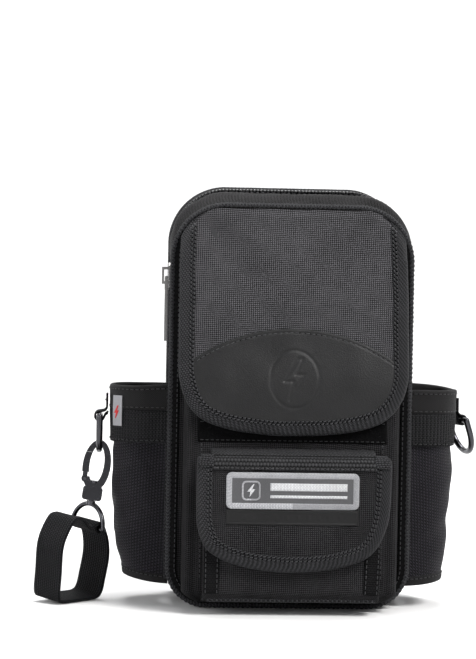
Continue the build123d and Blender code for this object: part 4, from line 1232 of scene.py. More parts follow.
def sf_curve(step=0.9):
    C = catmull(np.c_[np.array(SF_PATH), np.zeros(len(SF_PATH))], step)[:, :2]
    T2 = tangents(C)
    N2 = np.stack([T2[:, 1], -T2[:, 0]], 1)
    return C, np.where((N2 * (np.array([0, 80]) - C)).sum(1, keepdims=True) < 0, -N2, N2)


def sf_crown(x, z):
    c = np.clip(1 - (np.abs(x) / 54.0) ** 2.6, 0, 1) * smoothstep((z - 31) / 18.0) * (0.25 + 0.75 * smoothstep((102 - z) / 14))
    return 1.2 * c + 0.35 * c * wobble(x, z, 55, 34)


def make_small_flap():
    C, N2 = sf_curve()
    I = C + N2 * 7.4
    low = I[I[:, 1] < 92]
    k = np.argsort(low[:, 0])
    xs = spread(-53.2, 53.2, 90, 0.8)
    zb = np.interp(xs, low[k, 0], low[k, 1])
    X, Z = column_grid(xs, zb, np.full(90, 100.4), 64)
    y = -60.6 - sf_crown(X, Z)
    patch = smoothstep((41.5 - np.abs(X + 1)) / 1.5) * smoothstep((11.0 - np.abs(Z - 80)) / 1.5)
    y = y + 0.25 * patch
    put(slab_mesh("small_flap_fabric", np.stack([X, y, Z], 2), np.stack([X, 0 * y - 57.6, Z], 2), "nylon_painted_shade", "lining"), "small_flap", "outer_fabric", "small_flap_panel")

    s = np.arange(len(C)) * 0.9
    wav = 0.2 * np.sin(s / 7.3) + 0.15 * np.sin(s / 4.1 + 2)
    q = [(10.0, 3.3), (9.2, 3.85), (8.2, 3.8), (7.0, 4.1), (5.2, 4.35), (3.2, 4.3), (1.6, 3.95), (0.5, 3.1), (0.0, 1.9), (0.4, 0.8), (1.5, 0.15), (4.0, 0.0), (7.0, 0.0), (9.4, 0.2), (9.8, 0.6)]
    rows = []
    for a, off in q:
        P2 = C + N2 * (a + wav[:, None] * (0.5 if a > 8 else 0.25))
        P2[:, 1] = np.minimum(P2[:, 1], 101.0)
        ripple = 0.07 * np.sin(s * 2 * math.pi / 2.9 + a) * (off > 2)
        extra = sf_crown(P2[:, 0], P2[:, 1]) * (0.9 if a > 6 and off > 2 else 0.35) * (off > 1.5)
        rows.append(np.stack([P2[:, 0], -57.4 - off - extra - ripple, P2[:, 1]], 1))
    ob = recalc(grid("small_flap_edge", np.stack(rows, 1), "binding", cv=True, caps=True))
    put(ob, "small_flap", "binding", "small_flap_binding")
    for a, off, nm in ((9.0, 3.95, "inner"), (7.3, 4.2, "outer")):
        P2 = C + N2 * (a + wav[:, None] * 0.5)
        Q = np.stack([P2[:, 0], -57.4 - off - sf_crown(P2[:, 0], P2[:, 1]) * 0.9, P2[:, 1]], 1)
        m = P2[:, 1] < 99.5
        put(stitches("small_flap_edge_stitches_" + nm, Q[m], np.tile([0, -1.0, 0], (m.sum(), 1)), 1.9, 0.9, 0.36, 0.14, slant=0.5), "small_flap", "binding")

    # ribbed band over the flap's upper edge, and the webbing that it folds from
    xs = np.arange(-51.5, 51.6, 0.34)
    rib = 0.42 * np.abs(np.sin(np.pi * xs / 2.7)) ** 0.7
    prof = [(-41.9, 104.6), (-45.0, 104.2), (-50.0, 103.4), (-55.0, 102.3), (-57.8, 101.3)]
    P = np.stack([np.stack([xs, np.full_like(xs, y) - rib * 0.3, np.full_like(xs, z) + rib], 1) for y, z in prof], 1)
    ob = grid("small_flap_root_ribs", P, "web_ribs")
    recalc_out(ob, (0, -45, 60))
    put(thicken(ob, 1.6), "small_flap_root", "webbing", "small_flap_webbing")
    prof = [(-58.2, 101.1), (-60.2, 100.4), (-61.6, 98.8), (-62.1, 96.8), (-62.2, 94.4), (-61.9, 93.2), (-61.2, 92.9)]
    P = np.stack([np.stack([xs, np.full_like(xs, y) - rib * 0.8 - sf_crown(xs, np.full_like(xs, min(z, 98.0))) * 0.6, np.full_like(xs, z) + rib * (0.4 if z > 99 else 0)], 1) for y, z in prof], 1)
    ob = grid("small_flap_top_ribs", P, "web_ribs")
    recalc_out(ob, (0, -50, 80))
    put(thicken(ob, 1.2), "small_flap", "webbing")
    Q = np.stack([np.linspace(-50, 50, 60), -62.7 - sf_crown(np.linspace(-50, 50, 60), np.full(60, 94.0)) * 0.6, np.full(60, 94.0)], 1)
    put(stitches("small_flap_top_stitches", Q, np.tile([0, -1.0, 0], (60, 1)), 2.2, 0.9, 0.26, 0.1), "small_flap", "webbing")
    # end caps
    for sgn in (-1, 1):
        P2 = np.array([(sgn * 60.2, -57.2, 101.6), (sgn * 60.0, -59.6, 101.9), (sgn * 59.8, -61.6, 100.2), (sgn * 59.6, -62.3, 97.4), (sgn * 59.4, -62.3, 94.6)])
        C3 = catmull(P2, 0.8)
        up = smoothstep((C3[:, 2] - 96.0) / 6.0)
        C3[:, 0] = sgn * (55.4 - 1.1 * up)
        T = tangents(C3)
        Bx = np.tile([1.0, 0, 0], (len(C3), 1))
        Nn = unit(np.cross(T, Bx))
        put(sweep(f"small_flap_cap_{'left' if sgn < 0 else 'right'}", C3, Nn, Bx, oval(0.55, 4.9, 14, 3.4)[None] * np.stack([np.ones(len(C3)), 1 - 0.2 * up], 1)[:, None], "binding"), "small_flap", "binding")

    # label: satin-stitched border, woven field with plain stripes and a bolt, and a dark moulded strip under it
    cx0, cz0 = -1.0, 80.0
    P2, Nn2 = rr_path(39.6, cz0 - 9.5, cz0 + 9.5, 1.6, 1.6, 0.45)
    P2 = P2 + [cx0, 0]
    yb = -60.6 - sf_crown(P2[:, 0], P2[:, 1]) * 1.0 + 0.1
    sat = 1 + 0.10 * np.sin(np.arange(len(P2)) * 0.45 * 2 * math.pi / 1.05)
    prof = oval(1.95, 0.62, 12, 2.4)[None] * np.stack([np.ones(len(P2)), sat], 1)[:, None]
    put(sweep("label_border", np.stack([P2[:, 0], yb - 0.45, P2[:, 1]], 1), np.stack([Nn2[:, 0], 0 * yb, Nn2[:, 1]], 1), np.tile([0, -1.0, 0], (len(P2), 1)), prof, "satin", closed=True), "small_flap", "label_edge", "label_frame")
    X, Z = column_grid(np.linspace(cx0 - 39, cx0 + 39, 50), np.full(50, cz0 - 9.0), np.full(50, cz0 + 9.0), 16)
    yy = -60.6 - sf_crown(X, Z)
    put(slab_mesh("label_field", np.stack([X, yy - 0.62, Z], 2), np.stack([X, yy + 0.2, Z], 2), "label"), "small_flap", "label", "label_plate")

    def patch(name, pts_x, pts_z, x0, z0, h, mat, slot, nx=24, nz=6, rnd=0.5):
        X, Z = column_grid(np.linspace(x0 - pts_x, x0 + pts_x, nx), np.full(nx, z0 - pts_z), np.full(nx, z0 + pts_z), nz)
        d = np.minimum(pts_x - np.abs(X - x0), pts_z - np.abs(Z - z0))
        yy = -60.6 - sf_crown(X, Z)
        top = yy - 0.5 - h * (0.4 + 0.6 * edge_round(d, rnd))
        return put(slab_mesh(name, np.stack([X, top, Z], 2), np.stack([X, yy - 0.3, Z], 2), mat), "small_flap", slot)
    patch("label_stripe_upper", 24.0, 2.4, cx0 + 10.0, cz0 + 2.4, 0.42, "satin_h", "label_edge", 60, 8)
    patch("label_stripe_lower", 24.0, 0.9, cx0 + 10.0, cz0 - 3.6, 0.36, "satin_h", "label_edge", 60, 5, 0.35)
    # bolt in a rounded frame at the label's left
    P2, Nn2 = rr_path(5.3, cz0 - 5.6, cz0 + 5.6, 2.4, 2.4, 0.4)
    P2 = P2 + [cx0 - 26.0, 0]
    yb = -60.6 - sf_crown(P2[:, 0], P2[:, 1]) - 0.72
    put(sweep("label_badge_ring", np.stack([P2[:, 0], yb, P2[:, 1]], 1), np.stack([Nn2[:, 0], 0 * yb, Nn2[:, 1]], 1), np.tile([0, -1.0, 0], (len(P2), 1)), oval(0.62, 0.42, 8, 2.2), "satin", closed=True), "small_flap", "label_edge")
    poly = np.array([(1.3, 4.3), (-2.6, -0.6), (-0.4, -0.6), (-1.2, -4.3), (2.6, 0.9), (0.4, 0.9), (2.2, 4.3)]) * 0.95 + [cx0 - 26.0, cz0]
    yb = float((-60.6 - sf_crown(np.array([cx0 - 26.0]), np.array([cz0])))[0])
    V = [(x, yb - 1.05, z) for x, z in poly] + [(x, yb - 0.4, z) for x, z in poly]
    n = len(poly)
    faces = [list(range(n)), list(range(n, 2 * n))[::-1]] + [[i, (i + 1) % n, n + (i + 1) % n, n + i] for i in range(n)]
    ob = finish_mesh("label_badge_bolt", V, faces, [(v[0], v[2]) for f in faces for v in [V[k] for k in f]], "satin_h", smooth=False)
    bm = bmesh.new()
    bm.from_mesh(ob.data)
    bmesh.ops.triangulate(bm, faces=[f for f in bm.faces if len(f.verts) > 4])
    bmesh.ops.recalc_face_normals(bm, faces=bm.faces)
    bm.to_mesh(ob.data)
    bm.free()
    put(ob, "small_flap", "label_edge")

    # dark moulded strip
    X, Z = column_grid(np.linspace(-42.5, 40.5, 130), np.full(130, 58.6), np.full(130, 68.2), 26)
    d = np.minimum(41.5 - np.abs(X + 1), 4.8 - np.abs(Z - 63.4))
    hgt = 0.62 * edge_round(d, 0.8) - 0.38 * smoothstep((d - 1.1) / 0.35)
    bars = (np.abs(((X + 1) % 6.6) - 3.3) < 1.0) & (np.abs(Z - 63.4) < 1.5) & (np.abs(X + 1) < 33)
    hgt = hgt + 0.22 * bars
    yy = -60.6 - sf_crown(X, Z)
    put(slab_mesh("small_flap_moulded_strip", np.stack([X, yy - 0.15 - hgt, Z], 2), np.stack([X, yy + 0.2, Z], 2), "rubber"), "small_flap", "label")
    # hook patch
    X, Z = column_grid(np.linspace(-24, 24, 36), np.full(36, 46.0), np.full(36, 62.0), 14)
    y = -57.0 + 0.45 * edge_round(np.minimum(24 - np.abs(X), np.minimum(Z - 46, 62 - Z)), 1.2)
    put(slab_mesh("small_flap_hook_nap", np.stack([X, y, Z], 2), np.stack([X, 0 * y - 57.8, Z], 2), "loop"), "small_flap", "hook_and_loop", "small_flap_hook_patch")


# =============================================================== side pockets
BULGE = {"left": [(15, 28), (45, 36), (141, 38.5)], "right": [(15, 26.5), (45, 30.5), (141, 34.5)]}


def bulge(side, z):
    t = np.array(BULGE[side], float)
    b = np.interp(z, t[:, 0], t[:, 1])
    return b - 2.0 * smoothstep((20 - np.asarray(z, float)) / 8.0)


def section(side, z, off, n=120):
    """A side pocket's outline in X and Y at height z, front edge to rear edge, with outward normals and lengths."""
    sg = -1 if side == "left" else 1
    x1 = HW + float(bulge(side, z)) + off
    y0, y1, r = -12.5 - off, 44.5 + off, 22.5 + off
    pts = [(HW + 0.3, y0)]
    pts += [(x, y0) for x in np.linspace(HW + 1, x1 - r, 6)]
    pts += [(x1 - r + r * math.sin(a), y0 + r - r * math.cos(a)) for a in np.linspace(0.1, math.pi / 2, 14)]
    pts += [(x1, y) for y in np.linspace(y0 + r + 1, y1 - r - 1, 5)]
    pts += [(x1 - r + r * math.cos(a), y1 - r + r * math.sin(a)) for a in np.linspace(0, math.pi / 2 - 0.1, 14)]
    pts += [(x, y1) for x in np.linspace(x1 - r, HW + 1, 6)] + [(HW + 0.3, y1)]
    P = np.array(pts)
    d = np.linalg.norm(np.diff(P, axis=0), axis=1)
    s = np.concatenate([[0], np.cumsum(d)])
    t = np.linspace(0, s[-1], n)
    Q = np.stack([np.interp(t, s, P[:, 0]), np.interp(t, s, P[:, 1])], 1)
    T = tangents(Q)
    N = np.stack([T[:, 1], -T[:, 0]], 1)
    Q[:, 0] *= sg
    N[:, 0] *= sg
    return Q, N, t


def low_edge(side, s_frac):
    """The pocket's bottom is higher at its outer side."""
    return (4.5 if side == "left" else 3.0) * np.sin(np.pi * np.clip(s_frac, 0, 1)) ** 1.5


def folds(side, s, z):
    """Broad soft folds that run from the upper inner side down to the outer corner."""
    k = smoothstep((z - 22) / 18) * smoothstep((106 - z) / 16)
    a = s * (1.0 if side == "left" else -1.0) * 0.55 + z * 0.9
    f = 0.85 * np.sin(a * 2 * math.pi / 46.0 + 0.4) + 0.35 * np.sin(a * 2 * math.pi / 19.0 + 1.3)
    return k * (f + 0.6 * wobble(s, z, 61 if side == "left" else 63, 40)) * 0.85


def make_side_pockets():
    for side in ("left", "right"):
        sg = -1 if side == "left" else 1
        zs = [0, 0, 0] + list(np.linspace(0.0, 1.0, 64))
        n = 120
        rows = []
        shrink = [0.25, 0.6, 0.9] + [1.0] * 64
        for k, (v, sh) in enumerate(zip(zs, shrink)):
            Q0, N0, t = section(side, 15.0, 0.0, n)
            sf = t / t[-1]
            z = 15.2 + low_edge(side, sf) * (1 if sh == 1 else sh) + v * (141.0 - 15.2 - low_edge(side, sf))
            if sh == 1 and v < 0.02:
                z = z + 0.4
            row = np.zeros((n, 3))
            zc = np.interp(float(np.mean(z)), [15, 141], [15, 141])
            for j in range(1):
                Q, N, t = section(side, zc, 0.0, n)
            f = folds(side, t, z)
            edge = smoothstep(np.minimum(sf, 1 - sf) * 9)
            pull = -0.9 * np.exp(-((z - 104) / 3.0) ** 2)
            off = (f + pull) * edge
            row[:, 0] = Q[:, 0] + N[:, 0] * off
            row[:, 1] = Q[:, 1] + N[:, 1] * off
            row[:, 2] = z
            if sh < 1:
                c = np.array([sg * (HW + 0.5), 16.0])
                row[:, 0] = c[0] + (row[:, 0] - c[0]) * sh
                row[:, 1] = c[1] + (row[:, 1] - c[1]) * (sh * 0.6 + 0.4)
            rows.append(row)
        P = np.stack(rows, 1)
        ob = grid(f"side_pocket_{side}_fabric", P, "mesh")
        recalc_out(ob, (sg * (HW + 15), 16, 80))
        put(thicken(ob, 1.5), "pouch", "outer_fabric", f"side_pocket_{side}")

        # hem over the bottom edge
        Q, N, t = section(side, 19.0, 0.25, 100)
        sf = t / t[-1]
        z = 17.6 + low_edge(side, sf)
        C = np.c_[Q, z]
        Nn = np.c_[N, 0 * z]
        B = np.tile([0, 0, 1.0], (100, 1))
        put(sweep(f"side_pocket_{side}_hem", C, Nn, B, oval(0.8, 2.9, 12, 2.8), "rim"), "pouch", "binding")
        put(stitches(f"side_pocket_{side}_hem_stitches", C + Nn * 0.8 + [0, 0, 1.5], Nn, 2.2, 0.9, 0.24, 0.1, mat="thread_dark"), "pouch", "binding")

        # seams where the pocket meets the side wall
        for k, (yy, nm) in enumerate(((-13.2, "front"), (45.2, "rear"))):
            zz = np.linspace(18, 140, 60)
            C = np.stack([np.full(60, sg * (HW + 1.2)), np.full(60, yy), zz], 1)
            put(sweep(f"side_pocket_{side}_seam_{nm}", C, np.tile([sg * 1.0, 0, 0], (60, 1)), np.tile([0, 1.0, 0], (60, 1)), oval(2.1, 0.8, 10, 2.4), "binding"), "pouch", "binding")

        # rim: folded tape over the mouth
        Q, N, t = section(side, 134.0, -0.55, 130)
        wav = 0.35 * np.sin(t / 11.0) + 0.2 * np.sin(t / 5.3)
        prof_rows = []
        zt = 142.0
        for a, b in [(1.75, -15.6), (2.0, -14.6), (1.85, -12.0), (1.75, -8.0), (1.8, -4.0), (1.95, -1.6), (1.6, -0.3), (0.6, 0.35), (-0.6, 0.3), (-1.5, -0.5), (-1.7, -2.2), (-1.6, -8.0), (-1.7, -12.0), (-1.4, -12.6), (0.3, -12.8), (0.6, -15.2)]:
            Qz, Nz, _ = section(side, zt + b, -0.55, 130)
            w = wav * 0.35 if b > -3 else wav * 0.15
            tilt = 2.4 * smoothstep((t / t[-1] - 0.55) / 0.4) * smoothstep((b + 9) / 9) if side == "right" else 1.2 * smoothstep((0.2 - t / t[-1]) / 0.2) * smoothstep((b + 9) / 9)
            prof_rows.append(np.c_[Qz + Nz * (a + 0.12 * np.sin(t / 3.1 + b))[:, None], np.full(130, zt + b) + w + tilt - (0.35 if b > -1 else 0)])
        P = np.stack(prof_rows, 1)
        ob = recalc(grid(f"side_pocket_{side}_rim", P, "rim", cv=True, caps=True))
        put(ob, "pouch", "binding", f"side_pocket_rim_{side}")
        for b, nm in ((-14.0, "low"), (-2.6, "high")):
            Qz, Nz, tt = section(side, zt + b, -0.55 + 1.9, 130)
            tilt = 2.4 * smoothstep((tt / tt[-1] - 0.55) / 0.4) * smoothstep((b + 9) / 9) if side == "right" else 1.2 * smoothstep((0.2 - tt / tt[-1]) / 0.2) * smoothstep((b + 9) / 9)
            put(stitches(f"side_pocket_{side}_rim_stitches_{nm}", np.c_[Qz, np.full(130, zt + b) + wav * 0.2 + tilt], np.c_[Nz, np.zeros(130)], 2.3, 1.0, 0.24, 0.1, mat="thread_dark"), "pouch", "binding")

        # ribbed elastic band under the rim
        n = 520
        pitch = 2.2 if side == "left" else 2.4
        zsb = [105.0, 105.4, 106.6, 109, 112, 115, 118, 121, 124, 126.2]
        cols = []
        for i, z in enumerate(zsb):
            Q, N, t = section(side, z, 0.0, n)
            rib = 0.5 * np.abs(np.sin(np.pi * t / pitch)) ** 0.8
            roll = 0.9 if 0 < i else 0.1
            off = roll + rib * (0.3 if i == 0 else 1) + 0.15 * wobble(t, z * np.ones(n), 71, 30)
            cols.append(np.c_[Q + N * off[:, None], np.full(n, z) + 0.35 * np.sin(t / 13.0)])
        P = np.stack(cols, 1)
        ob = grid(f"side_pocket_{side}_band", P, "web_dash")
        recalc_out(ob, (sg * (HW + 15), 16, 115))
        put(thicken(ob, 1.2), "pouch", "webbing", f"side_pocket_band_{side}")
        Q, N, t = section(side, 107.0, 1.55, 130)
        put(stitches(f"side_pocket_{side}_band_stitches", np.c_[Q, np.full(130, 106.8)], np.c_[N, np.zeros(130)], 2.3, 1.0, 0.24, 0.1, mat="thread_dark"), "pouch", "binding")

    # folded tag on the left pocket's front corner
    lo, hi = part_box("side_tag")
    c = (Vector(lo) + Vector(hi)) * 500.0
    phi = math.radians(50)
    ux = np.array([math.cos(phi), -math.sin(phi), 0.0])
    nn = np.array([-math.sin(phi), -math.cos(phi), 0.0])
    cc = np.array([c.x, c.y, 0.0]) + nn * 0.55
    a = np.linspace(-4.2, 4.2, 16)
    z = np.linspace(115.6, 135.2, 34)
    A, Z = np.meshgrid(a, z, indexing="ij")
    lift = 0.35 * (A / 4.2) ** 2 * 0 + 0.25 * np.sin((Z - 115) / 20 * math.pi) + 0.2 * edge_round(np.minimum(4.2 - np.abs(A), np.minimum(Z - 115.6, 135.2 - Z)), 0.7)
    F = cc + ux * A[..., None] + nn * lift[..., None]
    F[..., 2] = Z
    B = cc + ux * A[..., None] - nn * 0.5
    B[..., 2] = Z
    put(slab_mesh("side_tag_fold", F, B, "tag"), "pouch", "tag", "side_tag")
    poly = np.array([(0.9, 3.6), (-2.0, -0.6), (-0.3, -0.6), (-0.9, -3.6), (2.0, 0.9), (0.3, 0.9), (1.6, 3.6)])
    V = []
    for h in (0.95, 0.2):
        V += [tuple(cc + ux * (p[0] * 1.1) + nn * h + np.array([0, 0, 124.6 + p[1] * 1.15])) for p in poly]
    n = len(poly)
    faces = [list(range(n)), list(range(n, 2 * n))[::-1]] + [[i, (i + 1) % n, n + (i + 1) % n, n + i] for i in range(n)]
    ob = finish_mesh("side_tag_mark", V, faces, [(0, 0)] * sum(len(f) for f in faces), "tag_mark", smooth=False)
    bm = bmesh.new()
    bm.from_mesh(ob.data)
    bmesh.ops.triangulate(bm, faces=[f for f in bm.faces if len(f.verts) > 4])
    bmesh.ops.recalc_face_normals(bm, faces=bm.faces)
    bm.to_mesh(ob.data)
    bm.free()
    put(ob, "pouch", "tag")


# =============================================================== webbing: ring tabs, tape strap, belt tunnel, tool loops
def web_strip(name, path, side_dir, width, thick, body, slot, nodes=(), mat="webbing", closed=False, edge=0.9):
    """Flat webbing along a path. side_dir is the direction across it."""
    P = np.asarray(path, float)
    T = tangents(P, closed)
    B = np.tile(unit(np.array(side_dir, float)), (len(P), 1))
    N = unit(np.cross(T, B))
    s = np.concatenate([[0], np.cumsum(np.linalg.norm(np.diff(P, axis=0), axis=1))])
    n = 22
    t = np.linspace(-1, 1, n)
    top = [(thick / 2 * (1 - 0.35 * max(0, abs(v) - 0.9) / 0.1), v * width / 2) for v in t]
    bot = [(-thick / 2 * (1 - 0.35 * max(0, abs(v) - 0.9) / 0.1), v * width / 2) for v in t[::-1]]
    prof = np.array(top + bot)
    profs = np.repeat(prof[None], len(P), 0)
    profs[:, :, 0] *= (1 + 0.05 * np.sin(s * 2 * math.pi / 2.2))[:, None]
    ob = sweep(name, P, N, B, profs, mat, closed=closed)
    put(ob, body, slot, *nodes)
    return P, N, B


def place(origin, turn, pts):
    """Points (x, y, z) turned about Z by turn degrees, then moved."""
    a = math.radians(turn)
    p = np.asarray(pts, float)
    return np.stack([origin[0] + p[:, 0] * math.cos(a) - p[:, 1] * math.sin(a), origin[1] + p[:, 0] * math.sin(a) + p[:, 1] * math.cos(a), origin[2] + p[:, 2]], 1)


def make_webbing():
    for side, origin, turn, reach in (("left", (-122.5, 14.0, 121.0), 180.0, 6.3), ("right", (116.375, 30.526, 121.0), 15.0, 5.0)):
        pts = [(-reach + 1.6, 0, 14.6), (-reach + 1.6, 0, 9), (-reach + 1.8, 0, 5.2), (-reach + 3.2, 0, 3.6), (-1.0, 0, 3.15), (1.6, 0, 2.6), (3.0, 0, 0.6), (2.5, 0, -1.7), (0.6, 0, -3.0), (-1.6, 0, -2.6), (-2.9, 0, -0.9), (-3.6, 0, 0.9), (-reach + 1.6, 0, 1.6), (-reach + 1.2, 0, 2.6)]
        path = place(origin, turn, catmull(pts, 0.5))
        a = math.radians(turn)
        web_strip(f"d_ring_tab_{side}_webbing", path, (-math.sin(a), math.cos(a), 0), 18.0, 1.35, "pouch", "webbing", (f"d_ring_tab_{side}",))
        q = place(origin, turn, [(-reach + 2.5, y, 10.5) for y in np.linspace(-7.5, 7.5, 16)])
        nr = np.tile([math.cos(a), math.sin(a), 0], (16, 1))
        put(stitches(f"d_ring_tab_{side}_stitches", q, nr, 2.0, 0.8, 0.28, 0.05), "pouch", "webbing")

    # tape strap
    C = np.array([-129.486, 14.0, 48.789])
    u = unit(np.array([-0.700225, 0.707107, 0.09841]))
    nx = np.array([-0.710556, -0.703641, 0.0])
    yd = unit(np.cross(u, nx))
    if yd[2] < 0:
        yd = -yd
    floor = -(C[2] - 1.2)
    t = 1.1
    loop = [(-1.5, 3.0), (2.6, 2.3), (8.0, 0.6), (14.6, 6.2), (19.5, 7.4), (24.0, 5.2), (29.4, -4.0), (31.6, -13.0), (31.2, -28.0), (30.8, floor + 5.0), (27.0, floor + 1.5), (12.0, floor + 1.25), (-2.0, floor + 1.4), (-6.6, floor + 5.0), (-8.4, -34.0), (-10.3, -20.0), (-8.6, -9.0), (-4.2, 0.2)]
    Q = catmull([(a, b, 0) for a, b in loop], 0.8, closed=True)
    low_clip = (0.25 + 1.15 + 12.0 * abs(u[2]) - C[2])
    path = C + Q[:, :1] * nx + Q[:, 1:2] * yd
    path[:, 2] = np.maximum(path[:, 2], 0.35 + t + 12.0 * abs(u[2]))
    P, N, B = web_strip("tape_strap_webbing", path, u, 24.0, 2.0, "tape_strap", "webbing", ("tape_strap",), closed=True)
    # sleeve sewn round the eye's bar
    ang = np.linspace(0.35 * math.pi, 2.15 * math.pi, 40)
    sl = np.array([(2.75 * math.cos(v), 2.75 * math.sin(v)) for v in ang])
    pth = C + sl[:, :1] * nx + sl[:, 1:2] * yd
    web_strip("tape_strap_sleeve", pth, u, 23.0, 1.3, "tape_strap", "webbing")
    for k, a0 in enumerate((4.0, 7.0)):
        j = int(np.argmin(np.linalg.norm(Q[:, :2] - np.array([a0 + 1.5, 1.2 if a0 < 5 else 0.9]), axis=1)))
        q = P[j] + np.linspace(-10.5, 10.5, 24)[:, None] * u
        nn = N[j] if N[j][2] > 0 else -N[j]
        put(stitches(f"tape_strap_stitches_{k}", q + nn * 1.05, np.tile(nn, (24, 1)), 2.0, 0.8, 0.3, 0.08), "tape_strap", "webbing")

    # belt tunnel
    lo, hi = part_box("belt_loop")
    yb = hi.y * 1000.0
    pts = [(0, 59.1, 142.4), (0, 59.15, 150), (0, 59.3, 156.5), (0, 61.4, 160.5), (0, yb - 1.4, 164.5), (0, yb - 1.1, 172), (0, yb - 1.05, 198), (0, yb - 1.1, 225), (0, yb - 1.4, 231.5), (0, 61.4, 235.5), (0, 59.3, 239.5), (0, 59.15, 246), (0, 59.1, 253.6)]
    web_strip("belt_tunnel_webbing", catmull(pts, 1.0), (1, 0, 0), 72.0, 1.9, "pouch", "webbing", ("belt_loop",), mat="webbing_wide")
    for k, z0 in enumerate((144.6, 156.0, 240.0, 251.4)):
        q = np.array([(x, 60.15, z0) for x in np.linspace(-34, 34, 40)])
        put(stitches(f"belt_tunnel_stitches_{k}", q, np.tile([0, 1.0, 0], (40, 1)), 2.6, 1.0, 0.3, 0.05), "pouch", "webbing")

    # elastic tool loops on the lining
    for k, x0 in enumerate((-62.0, -30.8, 0.8, 32.0)):
        pts = [(x0 + 0.3, 45.3, 208.5), (x0 + 2.6, 45.2, 208.5), (x0 + 4.2, 41.5, 208.5), (x0 + 6.0, 37.2, 208.5), (x0 + 9.5, 35.9, 208.5), (x0 + 15, 35.6, 208.5), (x0 + 20.5, 35.9, 208.5), (x0 + 24.0, 37.2, 208.5), (x0 + 25.8, 41.5, 208.5), (x0 + 27.4, 45.2, 208.5), (x0 + 29.7, 45.3, 208.5)]
        web_strip(f"inner_tool_loop_{k + 1}", catmull(pts, 0.9), (0, 0, 1), 24.6, 1.15, "pouch", "webbing", ("inner_tool_loops",) if k == 0 else (), mat="web_ribs")


make_front_panel()
make_gussets()
make_back()
make_base()
make_pockets()
make_main_flap()
make_small_flap()
make_side_pockets()
make_webbing()


# =============================================================== camera, light and floor
def make_camera():
    cd = bpy.data.cameras.new("camera")
    cam = bpy.data.objects.new("camera", cd)
    bpy.context.scene.collection.objects.link(cam)
    bpy.context.scene.camera = cam
    cd.sensor_width = 36.0
    cd.sensor_fit = "AUTO"
    cd.lens = 109.3
    cd.clip_start, cd.clip_end = 0.05, 60.0
    yaw, pitch, roll = math.radians(3.22), math.radians(0.83), math.radians(CAM_ROLL)
    fwd = Vector((math.sin(yaw) * math.cos(pitch), math.cos(yaw) * math.cos(pitch), -math.sin(pitch)))
    right = fwd.cross(Vector((0, 0, 1))).normalized()
    up = right.cross(fwd).normalized()
    r2 = right * math.cos(roll) + up * math.sin(roll)
    u2 = up * math.cos(roll) - right * math.sin(roll)
    m = Matrix.Identity(4)
    for i in range(3):
        m[i][0], m[i][1], m[i][2] = r2[i], u2[i], -fwd[i]
        m[i][3] = CAM_LOC[i]
    cam.matrix_world = m


CAM_ROLL = 1.05
CAM_LOC = (-0.1067, -1.3002, 0.1979)
make_camera()


def make_stage():
    rs = [0.0, 0.15, 0.3, 0.5, 0.8, 1.2, 1.6, 2.0, 2.4, 2.75, 3.05, 3.3, 3.5, 3.65, 3.75, 3.8, 3.8, 3.8, 3.8]
    zs = [0.0, 0.0, 0.0, 0.0, 0.0, 0.0, 0.0, 0.0, 0.02, 0.08, 0.2, 0.38, 0.62, 0.9, 1.25, 1.7, 2.4, 3.2, 4.2]
    n = 72
    P = np.zeros((len(rs), n, 3))
    for i, (r, z) in enumerate(zip(rs, zs)):
        a = np.linspace(0, 2 * math.pi, n, endpoint=False)
        P[i, :, 0], P[i, :, 1], P[i, :, 2] = r * np.cos(a), r * np.sin(a), z
    P[0] *= 0
    P *= 1000.0
    g = G("studio_floor")
    o = g.obj()
    g.set(Base_Color=g.mix(g.noise(o, 1.2, 2.0), (0.62, 0.62, 0.62), (0.66, 0.66, 0.66)), Roughness=0.9)
    g.bsdf.inputs["Specular IOR Level"].default_value = 0.1
    ob = grid("studio_floor", P, g.m, cv=True)
    bm = bmesh.new()
    bm.from_mesh(ob.data)
    bmesh.ops.remove_doubles(bm, verts=bm.verts, dist=1e-6)
    bm.to_mesh(ob.data)
    bm.free()
    ob.location = (0, 0.02, 0)
    ob.visible_shadow = True


make_stage()


def area(name, loc, target, size, power, color=(1, 1, 1), shape="RECTANGLE", size_y=None):
    ld = bpy.data.lights.new(name, "AREA")
    ld.energy = power
    ld.color = color
    ld.shape = shape
    ld.size = size
    if size_y:
        ld.size_y = size_y
    ob = bpy.data.objects.new(name, ld)
    bpy.context.scene.collection.objects.link(ob)
    ob.location = loc
    d = Vector(target) - Vector(loc)
    ob.rotation_mode = "QUATERNION"
    ob.rotation_quaternion = d.to_track_quat("-Z", "Y")
    return ob


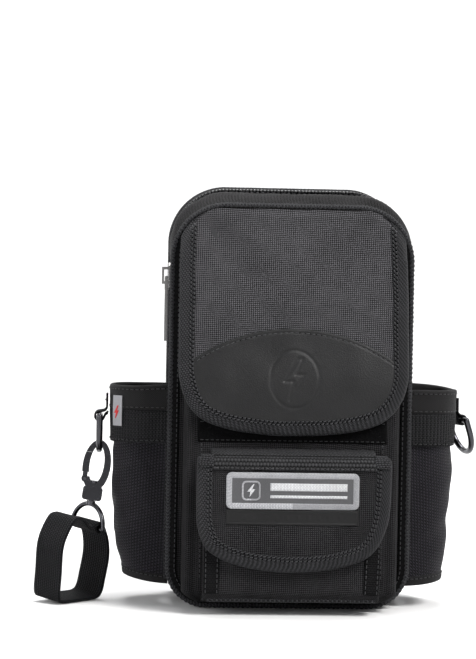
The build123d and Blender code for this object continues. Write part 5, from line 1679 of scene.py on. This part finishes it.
area("key", (1.15, -1.15, 1.65), (0, 0, 0.14), 0.5, 74.0, (1.0, 0.99, 0.98), size_y=0.9)
area("fill", (-1.6, -1.3, 0.7), (0, 0, 0.13), 1.1, 24.0, (0.98, 0.99, 1.0), size_y=1.3)
area("top", (-0.05, 0.45, 2.1), (0, 0, 0.1), 0.9, 52.0, (1, 1, 1), size_y=1.6)
area("rim_left", (-1.5, 0.9, 0.7), (0, 0, 0.14), 0.8, 9.0, size_y=1.4)
area("rim_right", (1.5, 0.9, 0.7), (0, 0, 0.14), 0.8, 9.0, size_y=1.4)
area("wall_back", (0, 1.3, 2.6), (0, 3.8, 0.8), 1.5, 82.0, size_y=1.0)
area("wall_front", (0, -1.9, 2.6), (0, -3.8, 0.8), 1.5, 16.0, size_y=1.0)
w = bpy.data.worlds.new("studio")
bpy.context.scene.world = w
w.use_nodes = True
bg = w.node_tree.nodes.get("Background") or w.node_tree.nodes.new("ShaderNodeBackground")
bg.inputs[0].default_value = (0.95, 0.96, 1.0, 1)
bg.inputs[1].default_value = 0.25
bpy.context.scene.view_settings.view_transform = "Standard"
bpy.context.scene.view_settings.look = "None"

# carried-over CAD metal
KEEP = {
    "zip_slider_left": ("nickel", "zip_metal"), "zip_slider_right": ("nickel", "zip_metal"),
    "zip_pull_left": ("nickel", "zip_metal"), "zip_pull_right": ("nickel", "zip_metal"),
    "zip_end_stops": ("nickel", "zip_metal"), "d_ring_left": ("gun", "ring_metal"), "d_ring_right": ("gun", "ring_metal"),
    "snap_hook_body": ("hook", "hook_metal"), "snap_gate": ("hook", "hook_metal"), "snap_gate_pin": ("gun", "hook_metal"),
    "swivel_eye": ("gun", "hook_metal"), "belt_loop_rivets": ("gun", "rivet_metal"),
    "front_panel_foam": ("foam", "foam"), "back_foam": ("foam", "foam"), "back_stiffener": ("stiff", "stiffener"), "base_stiffener": ("stiff", "stiffener"),
}
for node_name, (mat, slot_name) in KEEP.items():
    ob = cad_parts[node_name]
    ob.data.materials.clear()
    ob.data.materials.append(M[mat])

for node_name, wdt in (("snap_hook_body", 0.9), ("snap_gate", 0.8), ("zip_pull_left", 0.35), ("zip_pull_right", 0.35), ("zip_slider_left", 0.3), ("zip_slider_right", 0.3)):
    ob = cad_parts[node_name]
    md = ob.modifiers.new("edge", "BEVEL")
    md.width = wdt * MM
    md.segments = 3
    md.limit_method = "ANGLE"
    md.angle_limit = math.radians(40)
    md.use_clamp_overlap = True
